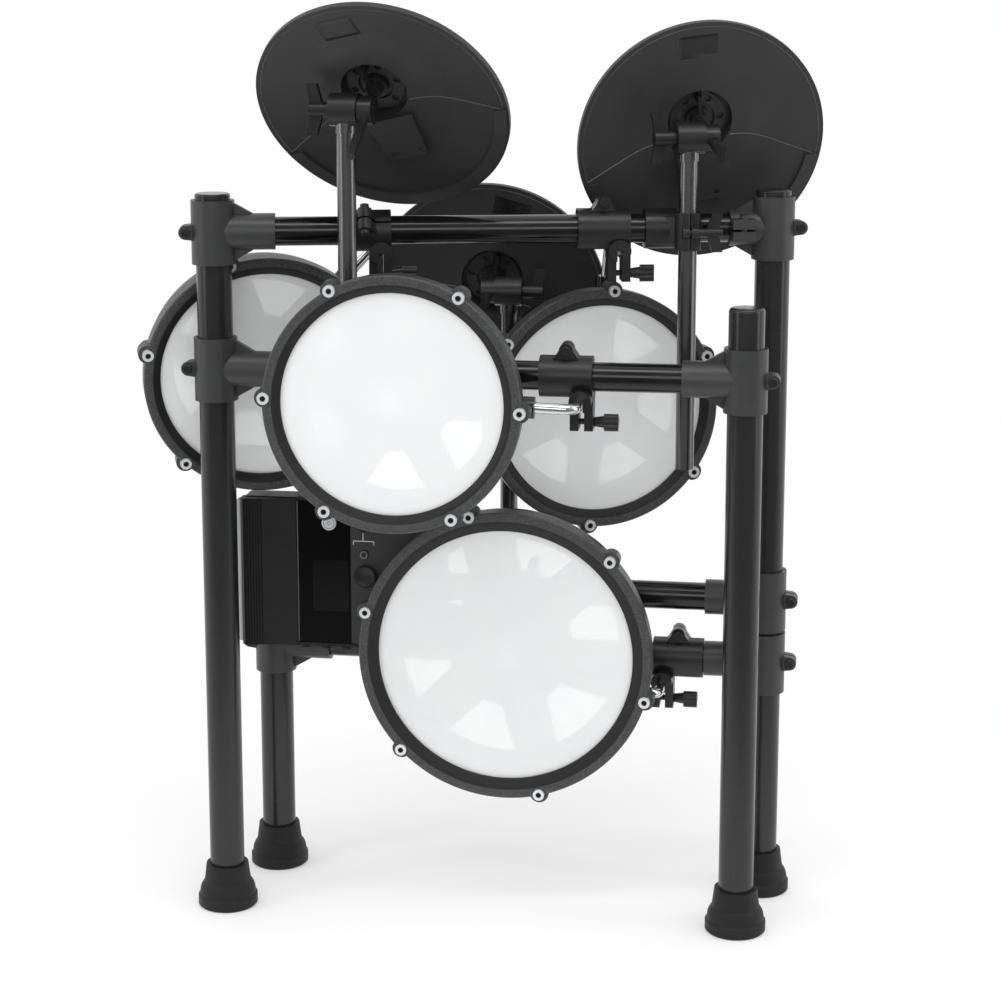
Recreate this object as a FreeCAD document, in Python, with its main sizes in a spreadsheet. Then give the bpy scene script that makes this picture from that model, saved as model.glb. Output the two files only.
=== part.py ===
import FreeCAD, Part
import math
import os
import re
import Sketcher

# Electronic drum kit folded for storage: a hinged tube rack with mesh pads, cymbal pads and a sound module.
# The origin is on the floor under the left inner post, X runs along the center tube, Y away from the player
# side and Z up. All sizes are in millimetres and degrees.

SIZES = {
    # fits
    "slip": 0.05,
    "seat": 0.05,
    "gap": 0.3,
    "arc_ease": 1.0001,
    # posts and tubes
    "post_diameter": 35,
    "post_wall": 2,
    "tube_diameter": 28.6,
    "tube_wall": 1.8,
    "center_span": 556,
    "right_span": 523.5,
    "left_span": 517.3,
    "right_fold": 11.5,
    "left_fold": 12.5,
    "left_tube_height": 249,
    "right_tube_rise": 314,
    "center_tube_rise": 136,
    "inner_post_stand": 38,
    "right_post_stand": 71,
    "left_post_stand": 77,
    "left_tube_spacing": 66,
    "tube_setback": 23,
    "cap_thickness": 3,
    "cap_depth": 16,
    "end_round": 4,
    # feet
    "foot_diameter": 61,
    "foot_height": 45,
    "foot_floor": 6,
    "foot_rim": 11,
    "foot_edge": 2,
    "foot_neck_diameter": 48,
    "foot_collar_diameter": 43,
    "foot_flare_height": 26,
    "foot_flare_radius": 16,
    # tee clamps
    "tee_diameter": 43,
    "tee_height": 63,
    "arm_diameter": 36,
    "arm_reach": 61,
    "short_arm_reach": 45,
    "pinch_length": 23,
    "pinch_reach": 12,
    "pinch_height": 22,
    "web_thickness": 8,
    "web_reach": 39,
    "web_height": 56,
    "tee_ear_reach": 26.5,
    "tee_ear_radius": 7,
    "tee_ear_root": 21,
    "tee_ear_width": 18,
    "clamp_slit": 2.4,
    "clamp_bolt_head": 9,
    "clamp_bolt_shank": 6,
    "clamp_bolt_stand": 4,
    # pad rack clamps
    "sleeve_diameter": 41,
    "sleeve_length": 52,
    "sleeve_ear_foot": 25,
    "sleeve_ear_radius": 7,
    "sleeve_ear_width": 22,
    "sleeve_bolt_height": 26.5,
    "boss_diameter": 22,
    "boss_drop": 20.5,
    "boss_shift": 15.5,
    "boss_front": 28,
    "boss_back": 20,
    "boss_bore_back": 14,
    "neck_depth": 30,
    "jaw_width": 22.5,
    "jaw_depth": 24,
    "jaw_drop": 31.5,
    "jaw_slot": 5.6,
    "jaw_screw_drop": 24,
    # lobed screws and wing screws
    "screw_diameter": 6,
    "knob_length": 24,
    "knob_neck_length": 10,
    "knob_neck_radius": 4.5,
    "knob_core_radius": 6,
    "knob_lobe_radius": 3.7,
    "knob_lobe_shift": 5.6,
    "knob_lobes": 3,
    "screw_hub_diameter": 9,
    "screw_hub_length": 23,
    "wing_span": 38,
    "wing_length": 24,
    "wing_root": 7,
    "wing_slope": 7,
    "wing_thickness": 4,
    # boom clamps
    "boom_sleeve_diameter": 40,
    "boom_sleeve_length": 32,
    "boom_ring_diameter": 26,
    "boom_ring_height": 37,
    "boom_shift": 24,
    "boom_offset": 28,
    "rear_boom_offset": 45.5,
    "boom_bridge_height": 26,
    "boom_ear_reach": 15.5,
    "boom_ear_radius": 5.5,
    "boom_ear_width": 15,
    # module clamp
    "spigot_diameter": 18,
    "module_sleeve_length": 38,
    # pads
    "lug_count": 6,
    "tom_head_radius": 107,
    "tom_rim": 17,
    "snare_head_radius": 129.4,
    "snare_rim": 19.6,
    "hoop_face": 9,
    "hoop_edge": 1.2,
    "hoop_lip": 6.5,
    "hoop_lip_edge": 2.5,
    "hoop_skirt": 5,
    "hoop_height": 18.5,
    "hoop_ear_radius": 9.5,
    "hoop_ear_top": 3,
    "bolt_inset": 1.5,
    "bolt_diameter": 5.8,
    "bolt_hole_play": 0.4,
    "bolt_head_diameter": 11.5,
    "bolt_head_height": 5.5,
    "bolt_socket": 5,
    "bolt_socket_depth": 3,
    "bolt_end": 27.5,
    "mesh_thickness": 1,
    "flesh_ring": 5,
    "flesh_ring_height": 8,
    "shell_wall": 3,
    "shell_depth": 46,
    "shell_plate": 4,
    "shell_edge": 3,
    "shell_shoulder": 19.5,
    "lug_radius": 8,
    "lug_bottom": 29,
    "window_margin": 16.5,
    "tom_window_depth": 38,
    "tom_window_narrow": 17.5,
    "tom_window_wide": 58,
    "snare_window_depth": 48,
    "snare_window_narrow": 21,
    "snare_window_wide": 71,
    "receiver_depth": 35,
    "receiver_diameter": 21,
    "tom_receiver_reach": 14,
    "snare_receiver_reach": 0.5,
    "receiver_wall": 5,
    "sensor_hub_radius": 24,
    "sensor_level": 28,
    "sensor_plate_radius": 40,
    "sensor_plate": 2,
    "foam_base_radius": 19,
    "foam_top_radius": 13,
    # rods
    "rod_diameter": 10.5,
    "rod_bend": 14,
    "rod_reach": 66,
    "rod_length": 66,
    # pad stations along the tubes and how each pad hangs
    "center_tom_station": 350,
    "center_tom_swing": 177.9,
    "center_tom_tilt": 0,
    "center_tom_arm": 171.8,
    "center_tom_draw": 2,
    "snare_station": -88,
    "snare_swing": 164.0,
    "snare_tilt": 0,
    "snare_arm": 158.9,
    "snare_draw": 3,
    "right_tom_station": 385,
    "right_tom_swing": -95.5,
    "right_tom_tilt": -9.6,
    "right_tom_arm": 170.0,
    "right_tom_draw": 6,
    "left_tom_station": 148.5,
    "left_tom_swing": -133.3,
    "left_tom_tilt": -12,
    "left_tom_arm": 176.1,
    "left_tom_draw": 15.8,
    "left_tom_ear_roll": -60,
    # booms, tilters and cymbals
    "boom_diameter": 18.4,
    "boom_wall": 1.8,
    "boom_length": 330,
    "left_boom_station": 115.6,
    "right_boom_station": 442,
    "rear_boom_station": -249,
    "left_tilt_rise": 122,
    "right_tilt_rise": 91,
    "rear_tilt_rise": 307,
    "left_tilt_yaw": -18.6,
    "right_tilt_yaw": 6.2,
    "rear_tilt_yaw": -9.9,
    "left_tilt": 37.5,
    "right_tilt": 18.4,
    "rear_tilt": 11.5,
    "left_spin": -15.7,
    "right_spin": -7.7,
    "rear_spin": 13.9,
    "left_hub_reach": 40,
    "right_hub_reach": 54.5,
    "rear_hub_reach": 48,
    "drum_diameter": 32,
    "drum_length": 28,
    "drum_socket_diameter": 21,
    "drum_socket_drop": 22,
    "drum_socket_depth": 14,
    "stud_diameter": 8,
    "stud_length": 12,
    "tilt_nut_diameter": 15,
    "tilt_nut_length": 21,
    "tilt_wing_span": 49,
    "tilt_wing_length": 24,
    "tilt_wing_thickness": 6,
    "eye_diameter": 27,
    "eye_width": 14,
    "post_rod_diameter": 9,
    "post_rod_front": 65,
    "post_rod_back": 24,
    "felt_diameter": 25,
    "felt_thickness": 7,
    "hub_nut_diameter": 16,
    "hub_nut_height": 9,
    "cymbal_radius": 125.5,
    "cymbal_offset": 20,
    "cymbal_bow": 8,
    "cymbal_thickness": 8,
    "cymbal_edge": 2,
    "cymbal_lip_width": 15,
    "cymbal_seam_drop": 50,
    "cymbal_lip_height": 1.6,
    "bell_radius": 47,
    "bell_top_radius": 19,
    "bell_height": 28,
    "bell_depth": 16,
    "bell_recess_radius": 33,
    "bell_plate": 5,
    "hub_hole_play": 0.4,
    "hub_ring_radius": 28.5,
    "hub_ring_height": 3,
    "hub_ring_bore": 17.3,
    "hub_ring_hole": 7,
    "hub_ring_hole_circle": 22.8,
    "hub_ring_holes": 6,
    "hub_tab_width": 25,
    "hub_tab_reach": 32.4,
    "hub_slot_width": 9,
    "hub_slot_reach": 29.5,
    "stop_diameter": 17,
    "stop_height": 8,
    "stop_arm_width": 3.2,
    "stop_arm_reach": 27,
    "stop_finger": 7,
    "jack_cover_width": 52,
    "jack_cover_tip": 40,
    "jack_cover_reach": 84,
    "jack_cover_drop": 5,
    "jack_diameter": 6.5,
    "jack_depth": 14,
    # sound module
    "module_station": -432,
    "module_pivot_station": -420,
    "module_rise": 23.5,
    "module_width": 212,
    "module_height": 158,
    "module_depth": 26,
    "module_back": 24,
    "module_corner": 6,
    "module_wall": 3,
    "hood_width": 57,
    "hood_height": 11,
    "hood_tail": 2,
    "hood_edge": 3,
    "hood_inset": 1,
    "hood_ridges": 7,
    "hood_ridge_start": 4,
    "hood_ridge_pitch": 2.8,
    "hood_ridge_width": 1.1,
    "hood_ridge_depth": 0.9,
    "panel_thickness": 3,
    "panel_sink": 1.5,
    "spigot_socket_depth": 11,
    "spigot_socket_wall": 4,
    "button_play": 0.35,
    "button_stand": 2.2,
    "button_flange": 1.4,
    "button_flange_height": 1.2,
    "power_radius": 7.5,
    "power_right": -14.6,
    "power_up": 52.6,
    "select_radius": 4.7,
    "select_right": 20.8,
    "select_up": 48.5,
    "select_pitch": 17.8,
    "mode_radius": 4.2,
    "mode_right": 21.8,
    "mode_up": 20.2,
    "dial_radius": 11.5,
    "dial_height": 6,
    "dial_shaft": 6,
    "dial_right": 23.4,
    "dial_up": -2.5,
    "display_left": -33.4,
    "display_right": 5.4,
    "display_top": 12.9,
    "display_bottom": -42.6,
    "display_sink": 1,
    "jack_row_pitch": 22,
    "jack_row_count": 5,
    "jack_nut_diameter": 11,
    "jack_nut_height": 5,
}

doc = FreeCAD.newDocument("drum_kit")
dims = doc.addObject("Spreadsheet::Sheet", "dims")
for row, (word, number) in enumerate(SIZES.items(), 1):
    dims.set(f"A{row}", word)
    dims.set(f"B{row}", str(number))
    dims.setAlias(f"B{row}", word)
doc.recompute()

Vector = FreeCAD.Vector
Rotation = FreeCAD.Rotation
Placement = FreeCAD.Placement
UP = Vector(0, 0, 1)
ALONG = Vector(1, 0, 0)
BACK = Vector(0, 1, 0)
AXES = {"X": Rotation(BACK, 90), "Y": Rotation(ALONG, -90), "Z": Rotation()}
HALF_TURN = Placement(Vector(), Rotation(UP, 180))
NODES = []
NEAR_ZERO = 1e-9


def tied(text):
    """A rule in size names, written for the sheet."""
    return re.sub(r"[a-z][a-z_0-9]*", lambda m: f"dims.{m[0]}" if m[0] in SIZES else m[0], text)


def size(text):
    """The value of a rule in size names."""
    return float(dims.evalExpression(text))


def bind(thing, **rules):
    """Tie properties of a feature to the sheet."""
    for name, text in rules.items():
        thing.setExpression(name, tied(text))
    return thing


def shift(x="0", y="0", z="0"):
    """A move by three rules."""
    return Placement(Vector(size(x), size(y), size(z)), Rotation())


def turn(axis, degrees):
    """A turn about an axis through the origin."""
    return Placement(Vector(), Rotation(axis, degrees))


def axes(origin, across, out):
    """A frame with X along across and Z along out."""
    side = out.cross(across)
    rows = [across.x, side.x, out.x, origin.x, across.y, side.y, out.y, origin.y]
    rows += [across.z, side.z, out.z, origin.z, 0, 0, 0, 1]
    return Placement(FreeCAD.Matrix(*rows))


# Sketch helpers


def draw_on(body, plane, offset="0", roll="0"):
    """A sketch on one of a body's own planes, moved along its normal or rolled about its X axis."""
    sketch = body.newObject("Sketcher::SketchObject", "outline")
    sketch.AttachmentSupport = [(next(f for f in body.Origin.OriginFeatures if f.Role == plane), "")]
    sketch.MapMode = "FlatFace"
    if roll != "0":
        sketch.AttachmentOffset = turn(ALONG, size(roll))
    if offset != "0":
        sketch.setExpression("AttachmentOffset.Base.z", tied(offset))
    return sketch


def pin(sketch, element, end, x, y):
    """Hold a sketch point at two rules from the sketch origin."""
    for kind, axis, text in (("DistanceX", -2, x), ("DistanceY", -1, y)):
        number = size(text)
        if abs(number) < NEAR_ZERO:
            sketch.addConstraint(Sketcher.Constraint("PointOnObject", element, end, axis))
            continue
        if number > 0:
            rule = Sketcher.Constraint(kind, -1, 1, element, end, number)
        else:
            rule = Sketcher.Constraint(kind, element, end, -1, 1, -number)
            text = f"-({text})"
        sketch.setExpression(f"Constraints[{sketch.addConstraint(rule)}]", tied(text))


def circle(sketch, x, y, radius):
    """A circle held by rules."""
    center = Vector(size(x), size(y), 0)
    element = sketch.addGeometry(Part.Circle(center, UP, size(radius)))
    pin(sketch, element, 3, x, y)
    rule = sketch.addConstraint(Sketcher.Constraint("Radius", element, size(radius)))
    sketch.setExpression(f"Constraints[{rule}]", tied(radius))


def arc_through(start, end, radius, side):
    """The middle point of the smaller arc between two points, bulging to one side."""
    chord = end - start
    half = chord.Length / 2
    rise = radius - math.sqrt(max(radius * radius - half * half, 0))
    across = Vector(-chord.y, chord.x, 0).normalize()
    return (start + end) / 2 + across * rise * side


def outline(sketch, points, closed=True):
    """A run of lines through points; a point with a radius and a side starts an arc."""
    spots = [Vector(size(p[0]), size(p[1]), 0) for p in points]
    count = len(points) if closed else len(points) - 1
    ends = []
    for i in range(count):
        start = spots[i]
        end = spots[(i + 1) % len(points)]
        if len(points[i]) == 2:
            element = sketch.addGeometry(Part.LineSegment(start, end))
            ends.append((element, 1, 2))
            continue
        middle = arc_through(start, end, size(points[i][2]), points[i][3])
        element = sketch.addGeometry(Part.Arc(start, middle, end))
        bend = (middle - start).cross(end - middle).z
        ends.append((element, 1, 2) if bend > 0 else (element, 2, 1))
    for i in range(count if closed else count - 1):
        here = ends[i]
        after = ends[(i + 1) % count]
        sketch.addConstraint(Sketcher.Constraint("Coincident", here[0], here[2], after[0], after[1]))
    for i in range(count):
        pin(sketch, ends[i][0], ends[i][1], points[i][0], points[i][1])
        if len(points[i]) > 2:
            rule = sketch.addConstraint(Sketcher.Constraint("Radius", ends[i][0], size(points[i][2])))
            sketch.setExpression(f"Constraints[{rule}]", tied(points[i][2]))
    if not closed:
        pin(sketch, ends[-1][0], ends[-1][2], points[-1][0], points[-1][1])


# Body features


def new_body(name):
    """An empty body."""
    return doc.addObject("PartDesign::Body", name)


def add_turned(body, points):
    """Turn an outline of radius and height about the body's Z axis."""
    sketch = draw_on(body, "XZ_Plane")
    outline(sketch, points)
    feature = body.newObject("PartDesign::Revolution", "turned")
    feature.Profile = sketch
    feature.ReferenceAxis = (sketch, ["V_Axis"])
    feature.Angle = 360
    body.Tip = feature
    return feature


def grow(body, kind, plane, drawing, length, offset, both, roll):
    """A pad or pocket of circles and outlines drawn on one plane."""
    sketch = draw_on(body, plane, offset, roll)
    for shape in drawing:
        if isinstance(shape, tuple):
            circle(sketch, *shape)
        else:
            outline(sketch, shape)
    feature = body.newObject(f"PartDesign::{kind}", kind.lower())
    feature.Profile = sketch
    feature.setExpression("Length", tied(length))
    feature.SideType = "Symmetric" if both else "One side"
    body.Tip = feature
    return feature


def add(body, plane, drawing, length, offset="0", both=False, roll="0"):
    """Grow material from a plane."""
    return grow(body, "Pad", plane, drawing, length, offset, both, roll)


def cut(body, plane, drawing, length, offset="0", both=False, roll="0"):
    """Take material away, behind the plane or to both sides of it."""
    return grow(body, "Pocket", plane, drawing, length, offset, both, roll)


def around(body, feature, count):
    """Repeat a feature evenly about the normal of its sketch."""
    pattern = body.newObject("PartDesign::PolarPattern", "around")
    pattern.Originals = [feature]
    pattern.Axis = (feature.Profile[0], ["N_Axis"])
    pattern.Angle = 360
    pattern.setExpression("Occurrences", tied(count))
    body.Tip = pattern
    return pattern


def turned(name, points):
    """A body turned from one outline."""
    body = new_body(name)
    add_turned(body, points)
    return body


# Primitives and joined shapes


def place(thing, axis, at):
    """Point a primitive along an axis and tie its start to rules."""
    thing.Placement = Placement(Vector(), AXES[axis])
    for name, text in zip("xyz", at):
        if text != "0":
            thing.setExpression(f"Placement.Base.{name}", tied(text))
    return thing


def cylinder(radius, length, axis="Z", at=("0", "0", "0")):
    """A round bar from a start point along an axis."""
    return place(bind(doc.addObject("Part::Cylinder", "bar"), Radius=radius, Height=length), axis, at)


def block(length, width, height, at):
    """A block from its lower corner."""
    thing = bind(doc.addObject("Part::Box", "block"), Length=length, Width=width, Height=height)
    return place(thing, "Z", at)


def joined(*things):
    """One solid of several that run into each other."""
    result = doc.addObject("Part::MultiFuse", "joined")
    result.Shapes = list(things)
    return result


def less(base, *tools):
    """A solid with others taken away."""
    result = doc.addObject("Part::Cut", "less")
    result.Base = base
    result.Tool = tools[0] if len(tools) == 1 else joined(*tools)
    return result


def moved(thing, where):
    """Set where a finished solid stands."""
    thing.Placement = where
    return thing


def node(label, *things):
    """Name a sub-part; several solids stay separate inside it."""
    result = things[0]
    if len(things) > 1:
        result = doc.addObject("Part::Compound", "group")
        result.Links = list(things)
    result.Label = label
    NODES.append(result)
    return result


def pipe(radius, wall, length):
    """An open tube along Z from the origin."""
    outer = cylinder(radius, length)
    inner = cylinder(f"{radius} - {wall}", f"{length} + 2 * {wall}", "Z", ("0", "0", f"-({wall})"))
    return less(outer, inner)


# Rack frames


def rail(height, yaw, origin):
    """The frame of a rail: X along it toward its right end."""
    return Placement(origin + UP * size(height), Rotation(UP, yaw))


CENTER_HEIGHT = "(left_tube_height + right_tube_rise + center_tube_rise)"
RIGHT_HEIGHT = "(left_tube_height + right_tube_rise)"
UPPER_HEIGHT = "(left_tube_height + left_tube_spacing)"
INNER_TOP = f"({CENTER_HEIGHT} + inner_post_stand)"
LEFT_POST = Vector()
RIGHT_POST = Vector(size("center_span"), 0, 0)
CENTER_RAIL = rail(CENTER_HEIGHT, 0, LEFT_POST)
RIGHT_RAIL = rail(RIGHT_HEIGHT, -size("right_fold"), LEFT_POST)
LOWER_RAIL = rail("left_tube_height", -size("left_fold"), RIGHT_POST)
UPPER_RAIL = rail(UPPER_HEIGHT, -size("left_fold"), RIGHT_POST)
RIGHT_END = RIGHT_RAIL.multVec(Vector(size("right_span"), 0, 0))
LEFT_END = LOWER_RAIL.multVec(Vector(-size("left_span"), 0, 0))


def on_floor(point):
    """The floor point under a post."""
    return Placement(Vector(point.x, point.y, 0), Rotation())


# Posts, caps, feet and tubes


def foot(where):
    """A rubber foot with a flared base and a socket for the post."""
    socket = "post_diameter / 2 + slip"
    points = [
        ("0", "0"),
        ("foot_diameter / 2 - foot_edge", "0"),
        ("foot_diameter / 2", "foot_edge"),
        ("foot_diameter / 2", "foot_rim"),
        ("foot_diameter / 2 - foot_edge", "foot_rim + foot_edge", "foot_flare_radius", -1),
        ("foot_neck_diameter / 2", "foot_flare_height"),
        ("foot_collar_diameter / 2", "foot_height"),
        (socket, "foot_height"),
        (socket, "foot_floor"),
        ("0", "foot_floor"),
    ]
    return moved(turned("foot", points), on_floor(where))


def inner_post(where):
    """An open post tube standing in its foot."""
    post = pipe("post_diameter / 2", "post_wall", f"{INNER_TOP} - cap_thickness - foot_floor - 2 * seat")
    return moved(post, on_floor(where) * shift(z="foot_floor + seat"))


def outer_post(height, where):
    """A post tube with a closed rounded top."""
    rim = "post_diameter / 2"
    bore = "post_diameter / 2 - post_wall"
    top = f"{height} - foot_floor - seat"
    points = [
        (bore, "0"),
        (rim, "0"),
        (rim, f"{top} - end_round", "end_round", -1),
        (f"{rim} - end_round", top),
        ("0", top),
        ("0", f"{top} - post_wall"),
        (bore, f"{top} - post_wall"),
    ]
    return moved(turned("post", points), on_floor(where) * shift(z="foot_floor + seat"))


def cap(where):
    """A plug that closes an open post."""
    plug = "post_diameter / 2 - post_wall - slip"
    points = [
        ("0", "-cap_depth"),
        (plug, "-cap_depth"),
        (plug, "0"),
        ("post_diameter / 2", "0"),
        ("post_diameter / 2", "cap_thickness / 2"),
        ("post_diameter / 2 - cap_thickness / 2", "cap_thickness"),
        ("0", "cap_thickness"),
    ]
    return moved(turned("cap", points), on_floor(where) * shift(z=f"{INNER_TOP} - cap_thickness"))


def cross_tube(span, where):
    """A tube between two tee clamps."""
    tube = pipe("tube_diameter / 2", "tube_wall", f"{span} - 2 * tube_setback")
    return moved(tube, where * shift(x="tube_setback") * Placement(Vector(), AXES["X"]))


def tee_clamp(where, reach="arm_reach", pinched=False):
    """A sleeve round a post with an arm socket, webs and a bolted ear; a pinched arm is split and bolted."""
    body = new_body("tee")
    half = "tee_diameter / 2"
    ear = "tee_ear_reach"
    add(body, "XY_Plane", [("0", "0", half)], "tee_height", both=True)
    add(body, "YZ_Plane", [("0", "0", "arm_diameter / 2")], reach)
    web = [
        ("0", "web_height / 2"),
        (half, "web_height / 2"),
        ("web_reach", "arm_diameter / 2"),
        ("web_reach", "-arm_diameter / 2"),
        (half, "-web_height / 2"),
        ("0", "-web_height / 2"),
    ]
    add(body, "XZ_Plane", [web], "web_thickness", both=True)
    lobe = [
        ("0", "tee_ear_root / 2"),
        (f"-{ear}", "tee_ear_radius"),
        (f"-{ear}", "-tee_ear_radius"),
        ("0", "-tee_ear_root / 2"),
    ]
    add(body, "XZ_Plane", [lobe], "tee_ear_width", both=True)
    add(body, "XZ_Plane", [(f"-{ear}", "0", "tee_ear_radius")], "tee_ear_width", both=True)
    pinch_end = "(arm_diameter / 2 + pinch_reach)"
    if pinched:
        cheek = [
            (f"{reach} - pinch_length", "0"),
            (reach, "0"),
            (reach, pinch_end),
            (f"{reach} - pinch_length", pinch_end),
        ]
        add(body, "XY_Plane", [cheek], "pinch_height", both=True)
    cut(body, "XY_Plane", [("0", "0", "post_diameter / 2 + slip")], "2 * tee_height", both=True)
    socket = [("0", "0", "tube_diameter / 2 + slip")]
    cut(body, "YZ_Plane", socket, f"{reach} - tube_setback + gap", reach)
    slit = [
        ("-post_diameter / 4", "tee_height"),
        (f"-{ear} - 2 * tee_ear_radius", "tee_height"),
        (f"-{ear} - 2 * tee_ear_radius", "-tee_height"),
        ("-post_diameter / 4", "-tee_height"),
    ]
    cut(body, "XZ_Plane", [slit], "clamp_slit", both=True)
    add(body, "XZ_Plane", [(f"-{ear}", "0", "clamp_bolt_shank / 2")], "tee_ear_width", both=True)
    head = [(f"-{ear}", "0", "clamp_bolt_head / 2")]
    for side in ("tee_ear_width / 2", "-tee_ear_width / 2 - clamp_bolt_stand"):
        add(body, "XZ_Plane", head, "clamp_bolt_stand", side)
    if pinched:
        split = [
            (f"{reach} - pinch_length", "tube_diameter / 4"),
            (f"2 * {reach}", "tube_diameter / 4"),
            (f"2 * {reach}", f"2 * {pinch_end}"),
            (f"{reach} - pinch_length", f"2 * {pinch_end}"),
        ]
        cut(body, "XY_Plane", [split], "clamp_slit", both=True)
        bolt = (f"{reach} - pinch_length / 2", f"{pinch_end} - clamp_bolt_head / 2")
        add(body, "XY_Plane", [(*bolt, "clamp_bolt_shank / 2")], "pinch_height", both=True)
        add(body, "XY_Plane", [(*bolt, "clamp_bolt_head / 2")], "clamp_bolt_stand", "pinch_height / 2")
    return moved(body, where)


# Clamps along the tubes


def lobed_screw(length, where):
    """A hand screw along X: a cone that widens to a lobed grip beyond the end of its length."""
    body = new_body("screw")
    shank = "screw_diameter / 2 - slip"
    far = f"({length} / 2 + gap)"
    points = [
        ("0", f"-{length} / 2"),
        (shank, f"-{length} / 2"),
        (shank, far),
        ("knob_neck_radius", far),
        ("knob_core_radius", f"{far} + knob_neck_length"),
        ("knob_core_radius", f"{far} + knob_length"),
        ("0", f"{far} + knob_length"),
    ]
    add_turned(body, points)
    lobe = [("0", "knob_lobe_shift", "knob_lobe_radius")]
    grip = "knob_length - knob_neck_length"
    around(body, add(body, "XY_Plane", lobe, grip, f"{far} + knob_neck_length"), "knob_lobes")
    return moved(body, where * Placement(Vector(), AXES["X"]))


def wings(far, length, span):
    """The outline of two flat wings either side of a hub that starts at far."""
    inner = f"{far} + wing_root"
    outer = f"{far} + {length}"
    return [
        (inner, "0"),
        (f"{inner} + wing_slope", f"{span} / 2"),
        (outer, f"{span} / 2"),
        (f"{outer} - wing_thickness", "0"),
        (outer, f"-{span} / 2"),
        (f"{inner} + wing_slope", f"-{span} / 2"),
    ]


def wing_screw(length, where):
    """A wing screw along X with its wings beyond the end of its length."""
    body = new_body("screw")
    shank = [("0", "0", "screw_diameter / 2 - slip")]
    far = f"({length} / 2 + gap)"
    add(body, "YZ_Plane", shank, length, both=True)
    add(body, "YZ_Plane", shank, f"{far} + screw_hub_length")
    add(body, "YZ_Plane", [("0", "0", "screw_hub_diameter / 2")], "screw_hub_length", far)
    add(body, "XZ_Plane", [wings(far, "wing_length", "wing_span")], "wing_thickness", both=True)
    return moved(body, where)


def pad_clamp(where, side, roll="0"):
    """A split sleeve on a tube with a boss and jaws for a pad rod; the boss is open toward -Y."""
    body = new_body("pad_clamp")
    mid = f"{side} * boss_shift"
    add(body, "YZ_Plane", [("0", "0", "sleeve_diameter / 2")], "sleeve_length", both=True)
    ear = [
        ("-sleeve_ear_foot / 2", "sleeve_diameter / 2 - clamp_slit"),
        ("sleeve_ear_foot / 2", "sleeve_diameter / 2 - clamp_slit"),
        ("sleeve_ear_radius", "sleeve_bolt_height"),
        ("-sleeve_ear_radius", "sleeve_bolt_height"),
    ]
    add(body, "XZ_Plane", [ear], "sleeve_ear_width", both=True, roll=roll)
    top = [("0", "sleeve_bolt_height", "sleeve_ear_radius")]
    add(body, "XZ_Plane", top, "sleeve_ear_width", both=True, roll=roll)
    neck = [
        (f"{mid} - boss_diameter / 2", "0"),
        (f"{mid} + boss_diameter / 2", "0"),
        (f"{mid} + boss_diameter / 2", "-boss_drop"),
        (f"{mid} - boss_diameter / 2", "-boss_drop"),
    ]
    add(body, "XZ_Plane", [neck], "neck_depth", both=True)
    boss = [(mid, "-boss_drop", "boss_diameter / 2")]
    add(body, "XZ_Plane", boss, "boss_front + boss_back", "-boss_back")
    jaws = [
        (f"{mid} - jaw_width / 2", "-boss_drop"),
        (f"{mid} + jaw_width / 2", "-boss_drop"),
        (f"{mid} + jaw_width / 2", "-boss_drop - jaw_drop"),
        (f"{mid} - jaw_width / 2", "-boss_drop - jaw_drop"),
    ]
    add(body, "XZ_Plane", [jaws], "jaw_depth", both=True)
    cut(body, "YZ_Plane", [("0", "0", "tube_diameter / 2 + slip")], "2 * sleeve_length", both=True)
    split = [
        ("-sleeve_length", "tube_diameter / 4"),
        ("sleeve_length", "tube_diameter / 4"),
        ("sleeve_length", "2 * sleeve_bolt_height"),
        ("-sleeve_length", "2 * sleeve_bolt_height"),
    ]
    cut(body, "XZ_Plane", [split], "clamp_slit", both=True, roll=roll)
    bolt = [("0", "sleeve_bolt_height", "clamp_bolt_head / 2")]
    add(body, "XZ_Plane", bolt, "sleeve_ear_width + 2 * clamp_bolt_stand", both=True, roll=roll)
    bore = [(mid, "-boss_drop", "rod_diameter / 2 + slip")]
    cut(body, "XZ_Plane", bore, "boss_front + boss_bore_back", "boss_front")
    slot = [
        (f"{mid} - jaw_slot / 2", "-boss_drop"),
        (f"{mid} + jaw_slot / 2", "-boss_drop"),
        (f"{mid} + jaw_slot / 2", "-boss_drop - 2 * jaw_drop"),
        (f"{mid} - jaw_slot / 2", "-boss_drop - 2 * jaw_drop"),
    ]
    cut(body, "XZ_Plane", [slot], "2 * boss_front", both=True)
    hole = [("0", "-boss_drop - jaw_screw_drop", "screw_diameter / 2")]
    cut(body, "YZ_Plane", hole, "2 * sleeve_length", both=True)
    return moved(body, where)


def jaw_screw(where, side, hand):
    """The lobed screw of a pad clamp's jaws, with its grip on the given hand."""
    spot = shift(f"{side} * boss_shift", "0", "-boss_drop - jaw_screw_drop")
    return lobed_screw("jaw_width", where * spot * (Placement() if hand > 0 else HALF_TURN))


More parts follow.
